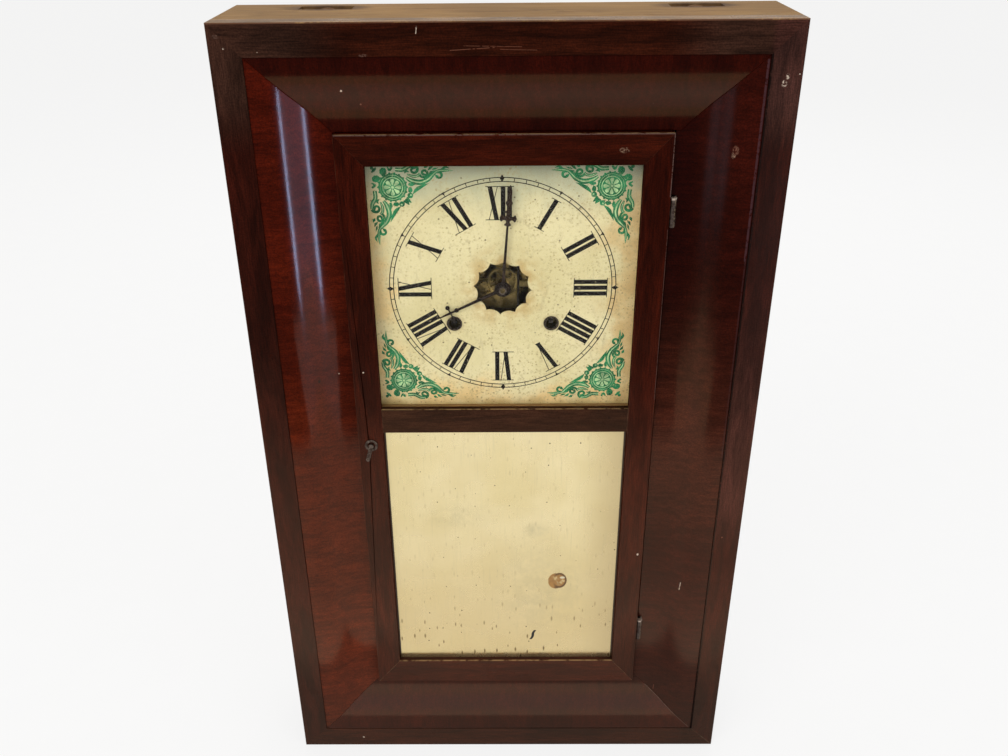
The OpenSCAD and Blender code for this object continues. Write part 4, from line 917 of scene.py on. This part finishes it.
def spandrel(green, pale, sx, sy):
    """One corner: a rosette and scrolls that run out along both sides of the dial."""
    def placed(path, swap=False):
        out = []
        for p in path:
            u, v = (p[1], p[0]) if swap else (p[0], p[1])
            out.append((sx * (ROSETTE - u), sy * (ROSETTE - v)))
        return out

    def around(radius, angle):
        return polar(radius, math.radians(angle))

    cu, cv = sx * ROSETTE, sy * ROSETTE
    green.disc(cu, cv, 10.4, 48)
    for k in range(18):
        green.disc(*placed([around(10.5, 20 * k)])[0], 0.8, 8)
    pale.ring(cu, cv, 7.5, 6.9, 40)
    pale.ring(cu, cv, 9.15, 8.9, 40)
    for k in range(8):
        pale.polygon(placed([around(r, 45 * k + w) for r, w in
                             ((1.6, -12), (3.2, -15), (5.0, -17), (6.2, -9), (6.2, 9), (5.0, 17),
                              (3.2, 15), (1.6, 12))]))
    pale.disc(cu, cv, 1.1, 12)

    for swap in (False, True):
        def stroke(path, widths, light=0.0):
            green.stroke(placed(path, swap), [w * 1.25 for w in widths])
            if light:
                pale.stroke(placed(path, swap), [w * light for w in widths])

        def stem(points, *brush):
            stroke(smooth(points), *brush)

        def leaf(outline):
            green.polygon(placed(outline, swap))

        # Main stem out to its leafed tip, with the curl that stands on it.
        stem([(10.2, -7.2), (14.5, -4.6), (20.5, -3.6), (26.0, -5.8), (29.6, -9.2), (32.5, -11.6),
              (37.5, -12.3), (44.0, -12.0)], (1.6, 3.0, 3.2, 2.8, 2.2, 1.7, 1.9, 0.3), 0.34)
        stem([(35.8, -12.6), (38.6, -14.6), (41.6, -13.8)], (1.4, 1.5, 0.3))
        stroke(curl(33.8, -8.6, 2.7, 245, 0.85, 1.2), (1.7, 1.5, 1.3, 2.2))
        # Second stem under it, rolled into a spiral, and a fan of leaves.
        stem([(11.0, -9.6), (14.8, -8.2), (18.6, -8.4), (20.2, -10.2)], (0.8, 1.8, 1.7, 1.2), 0.3)
        stroke(curl(23.2, -10.4, 3.5, 165, -1.35, 0.5), (1.3, 1.7, 1.4, 1.4, 2.0))
        leaf([(25.4, -7.4), (28.4, -9.6), (31.0, -12.4), (27.6, -11.6)])
        leaf([(25.8, -12.2), (28.0, -13.0), (30.4, -15.4), (27.2, -15.0)])
        leaf([(23.2, -14.2), (25.0, -14.0), (27.0, -16.0), (24.2, -16.2)])
        leaf([(28.6, -12.8), (31.4, -12.8), (34.0, -14.4), (30.6, -14.2)])
        # Wedge of leaf on the side of the hours, and the small leaves at its root.
        leaf([(14.2, 5.6), (17.4, 3.4), (21.6, 0.6), (26.6, -2.9), (21.8, -1.9), (17.8, -0.3),
              (15.6, 1.9)])
        leaf([(11.2, 3.4), (13.0, 4.4), (14.4, 2.0), (13.4, -0.6), (11.4, 0.4)])
        stem([(11.6, -2.4), (14.0, -1.8), (16.4, -2.6), (19.0, -2.0)], (1.4, 1.8, 1.2, 0.3))
        # Hook along the edge of the dial, and the double stem that runs into the corner.
        stroke(curl(15.8, -12.9, 3.3, -75, 1.1, 0.7), (1.9, 1.7, 1.4, 1.4, 2.0))
        stem([(16.4, -16.2), (12.4, -15.4), (8.0, -13.0), (2.6, -13.2)], (1.7, 2.4, 2.6, 2.4),
             0.36)
        stem([(9.0, -10.4), (10.4, -11.8), (12.4, -11.2)], (0.5, 1.6, 0.4))
        # Leaves in the corner, and balls between the two wedges.
        stem([(0.4, -15.0), (-1.6, -12.8), (-3.2, -15.2)], (1.2, 1.6, 0.6))
        leaf([(-3.6, -12.0), (-5.4, -9.8), (-8.2, -10.0), (-9.0, -12.4), (-7.2, -14.6),
              (-4.6, -14.4)])
        leaf([(-8.0, -6.8), (-10.6, -3.6), (-13.8, -5.2), (-13.4, -8.6), (-10.6, -9.0)])
        green.disc(*placed([(6.2, 12.6)], swap)[0], 2.1, 16)
        pale.disc(*placed([(5.9, 13.1)], swap)[0], 0.7, 10)
        green.disc(*placed([(2.4, 13.2)], swap)[0], 1.3, 12)
        stem([(7.4, 10.4), (9.8, 11.2), (11.6, 13.2)], (1.2, 1.9, 0.5))
    green.stroke(placed([(-11.0, -14.6), (-13.0, -12.8), (-14.6, -11.0)]), (1.0, 2.4, 1.0))
    green.disc(*placed([(-14.4, -14.4)])[0], 1.3, 12)
    green.disc(*placed([(10.2, 10.2)])[0], 1.9, 14)


green_art, pale_art = Sheet(), Sheet()
for sx in (-1, 1):
    for sy in (-1, 1):
        spandrel(green_art, pale_art, sx, sy)
green_art.make("dial_scrolls", green_paint)
pale_art.points = [(x, y - PALE_PROUD * MM, z) for x, y, z in pale_art.points]
pale_art.make("dial_scroll_lights", pale_green)


def lathe(name, profile, centre, material, steps=40):
    """A turned ring about an axis that runs front to back; profile in (radius, y) mm."""
    points, faces = [], []
    rows = len(profile)
    for k in range(steps):
        for radius, y in profile:
            du, dv = polar(radius, 2 * math.pi * k / steps)
            points.append(((centre[0] + du) * MM, y * MM, (centre[1] + dv) * MM))
    for k in range(steps):
        n = (k + 1) % steps
        for j in range(rows):
            m = (j + 1) % rows
            faces.append((k * rows + j, k * rows + m, n * rows + m, n * rows + j))
    piece = new_mesh(name, points, faces, material)
    for face in piece.data.polygons:
        face.use_smooth = True
    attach(piece, "case")


eyelet = metal("eyelet_brown", (0.10, 0.075, 0.055), 0.45, (0.045, 0.03, 0.02), 0.5, 21.0,
               cell=2.0, metallic=0.7)
for label, side in (("left", -1), ("right", 1)):
    lathe("winding_eyelet_" + label,
          [(4.4, -21.0), (4.3, -22.4), (4.7, -22.75), (5.5, -22.7), (6.0, -22.3), (6.1, -21.9),
           (5.4, -21.9), (5.3, -21.0)],
          (DIAL_X + side * HOLE_X, DIAL_Z + HOLE_Z), eyelet)


# --- studio and camera

PALE = (0.9, 0.9, 0.895)
GLOW = 0.8
SEEN = ("Camera", "Glossy", "Transmission")


def floor_finish():
    """Pale floor, which glows by itself where the eye, gloss or glass sees it."""
    f = Finish("studio_floor", Roughness=0.9, Specular_IOR_Level=0.0)
    f.tone = PALE
    f.vary(f.noise(40, detail=2), 0.99, 1.01)
    f.put(Base_Color=f.tone)
    f.blend(f.both(f.ray(*SEEN), GLOW), f.add("ShaderNodeEmission", (1.0, 1.0, 1.0), 1.0))
    return f.mat


HALF_FLOOR = 7
corners = [(x * HALF_FLOOR, y * HALF_FLOOR, 0) for x, y in ((-1, -1), (1, -1), (1, 1), (-1, 1))]
new_mesh("studio_floor_plane", corners, [(0, 1, 2, 3)], floor_finish())

world = bpy.data.worlds.new("studio_world")
bpy.context.scene.world = world
world.use_nodes = True
sky = Nodes(world.node_tree)
sky.named(world.node_tree.nodes["Background"], Color=(1.0, 0.985, 0.96),
          Strength=sky.fade(sky.ray(*SEEN), 0.0, 1.0, 0.55, 1.0, kind="LINEAR"))


def lamp(name, place, target, size, watts, colour, glossy=True):
    """A soft rectangular lamp that the camera doesn't see."""
    data = bpy.data.lights.new(name, "AREA")
    data.shape = "RECTANGLE"
    data.size, data.size_y = size
    data.energy = watts
    data.color = colour
    light = bpy.data.objects.new(name, data)
    light.location = place
    aim = Vector(target) - Vector(place)
    light.rotation_euler = aim.to_track_quat("-Z", "Y").to_euler()
    light.visible_camera = False
    light.visible_glossy = glossy
    bpy.context.scene.collection.objects.link(light)
    return light


MIDDLE = (0, -0.03, 0.35)
lamp("key_soft", (-1.3, -1.9, 1.9), MIDDLE, (1.6, 1.6), 22, (1.0, 0.975, 0.94), glossy=False)
lamp("fill_soft", (1.7, -1.5, 1.2), MIDDLE, (1.4, 1.4), 8, (0.97, 0.985, 1.0), glossy=False)
lamp("back_soft", (0.3, 1.9, 1.8), MIDDLE, (1.6, 1.2), 12, (1.0, 0.99, 0.97), glossy=False)


def sheen(name, place, target, size, radiance, colour, shown_by):
    """A light that only the varnish of the named pieces shows, as a reflection."""
    light = lamp(name, place, target, size, radiance * size[0] * size[1] * math.pi, colour)
    light.visible_diffuse = False
    light.visible_transmission = False
    group = bpy.data.collections.new(name)
    for shower in shown_by:
        group.objects.link(nodes[shower])
    light.light_linking.receiver_collection = group
    return light


def lit_floor(name, x, y, size, radiance, colour, shown_by):
    """A lit part of the table top, which looks up."""
    light = sheen(name, (x, y, 0.004), (x, y, 1), size, radiance, colour, shown_by)
    light.rotation_euler = (math.pi, 0, 0)


# What the varnish shows: a lit table, the room low down beyond it, and windows at both sides.
WARM, ROOM, WINDOW = (1.0, 0.70, 0.40), (1.0, 0.74, 0.64), (0.93, 0.76, 1.0)
lit_floor("table_glow", 0, -0.37, (1.9, 0.44), 12.4, (1.0, 0.735, 0.49), RIMS + OGEES + DOOR)
lit_floor("table_foot", 0, -0.25, (1.9, 0.20), 1.2, (1.0, 0.62, 0.42), ["ogee_bottom"])
lit_floor("table_far", 0, -0.79, (1.9, 0.42), 11, ROOM, ["ogee_bottom"])
lit_floor("table_beyond", 0, -0.75, (1.9, 0.32), 12, (1.0, 0.70, 0.34), ["ogee_top"])
lit_floor("table_right", 0.40, -0.79, (0.70, 0.40), 15, ROOM, ["ogee_left"])
lit_floor("table_left", -0.40, -0.70, (0.70, 0.22), 13, WARM, ["ogee_right"])
sheen("room_low", (0, -1.0, 0.25), (0, 0, 0.1), (1.6, 0.5), 11, ROOM, ["ogee_bottom"])
sheen("window_strip", (0.365, -1.0, 0.225), (-0.15, -0.03, 0.5), (0.062, 0.39), 290,
      (0.50, 0.65, 1.0), ["ogee_left"])
sheen("window_wide", (0.60, -1.0, 0.225), (-0.15, -0.03, 0.5), (0.38, 0.42), 20, WINDOW,
      ["ogee_left"])
sheen("window_dim", (0.60, -1.0, 0.225), (0.15, -0.03, 0.5), (0.32, 0.42), 7, (1.0, 0.9, 0.85),
      ["rim_right"])
sheen("window_other", (-0.55, -1.0, 0.3), (0.15, -0.03, 0.5), (0.28, 0.3), 7, (0.8, 0.85, 1.0),
      ["ogee_right"])

# The camera, solved from the case's corners in the photo.
CAMERA_AT = Vector((-0.00296, -0.7079, 0.75832))
RIGHT, FORWARD = Vector((0.99996, 0.00502, -0.0080)), Vector((-0.0082, 0.8818, -0.4716))
FORWARD.normalize()
RIGHT = (RIGHT - FORWARD * RIGHT.dot(FORWARD)).normalized()
UP = RIGHT.cross(FORWARD)
camera_data = bpy.data.cameras.new("photo_camera")
camera_data.sensor_width = 36.0
camera_data.lens = 34.58
camera_data.shift_x = 0.00837
camera_data.shift_y = 0.00087
camera = bpy.data.objects.new("photo_camera", camera_data)
turn = Matrix((RIGHT, UP, -FORWARD)).transposed()
camera.matrix_world = Matrix.Translation(CAMERA_AT) @ turn.to_4x4()
bpy.context.scene.collection.objects.link(camera)
bpy.context.scene.camera = camera
bpy.context.scene.view_settings.view_transform = "Standard"
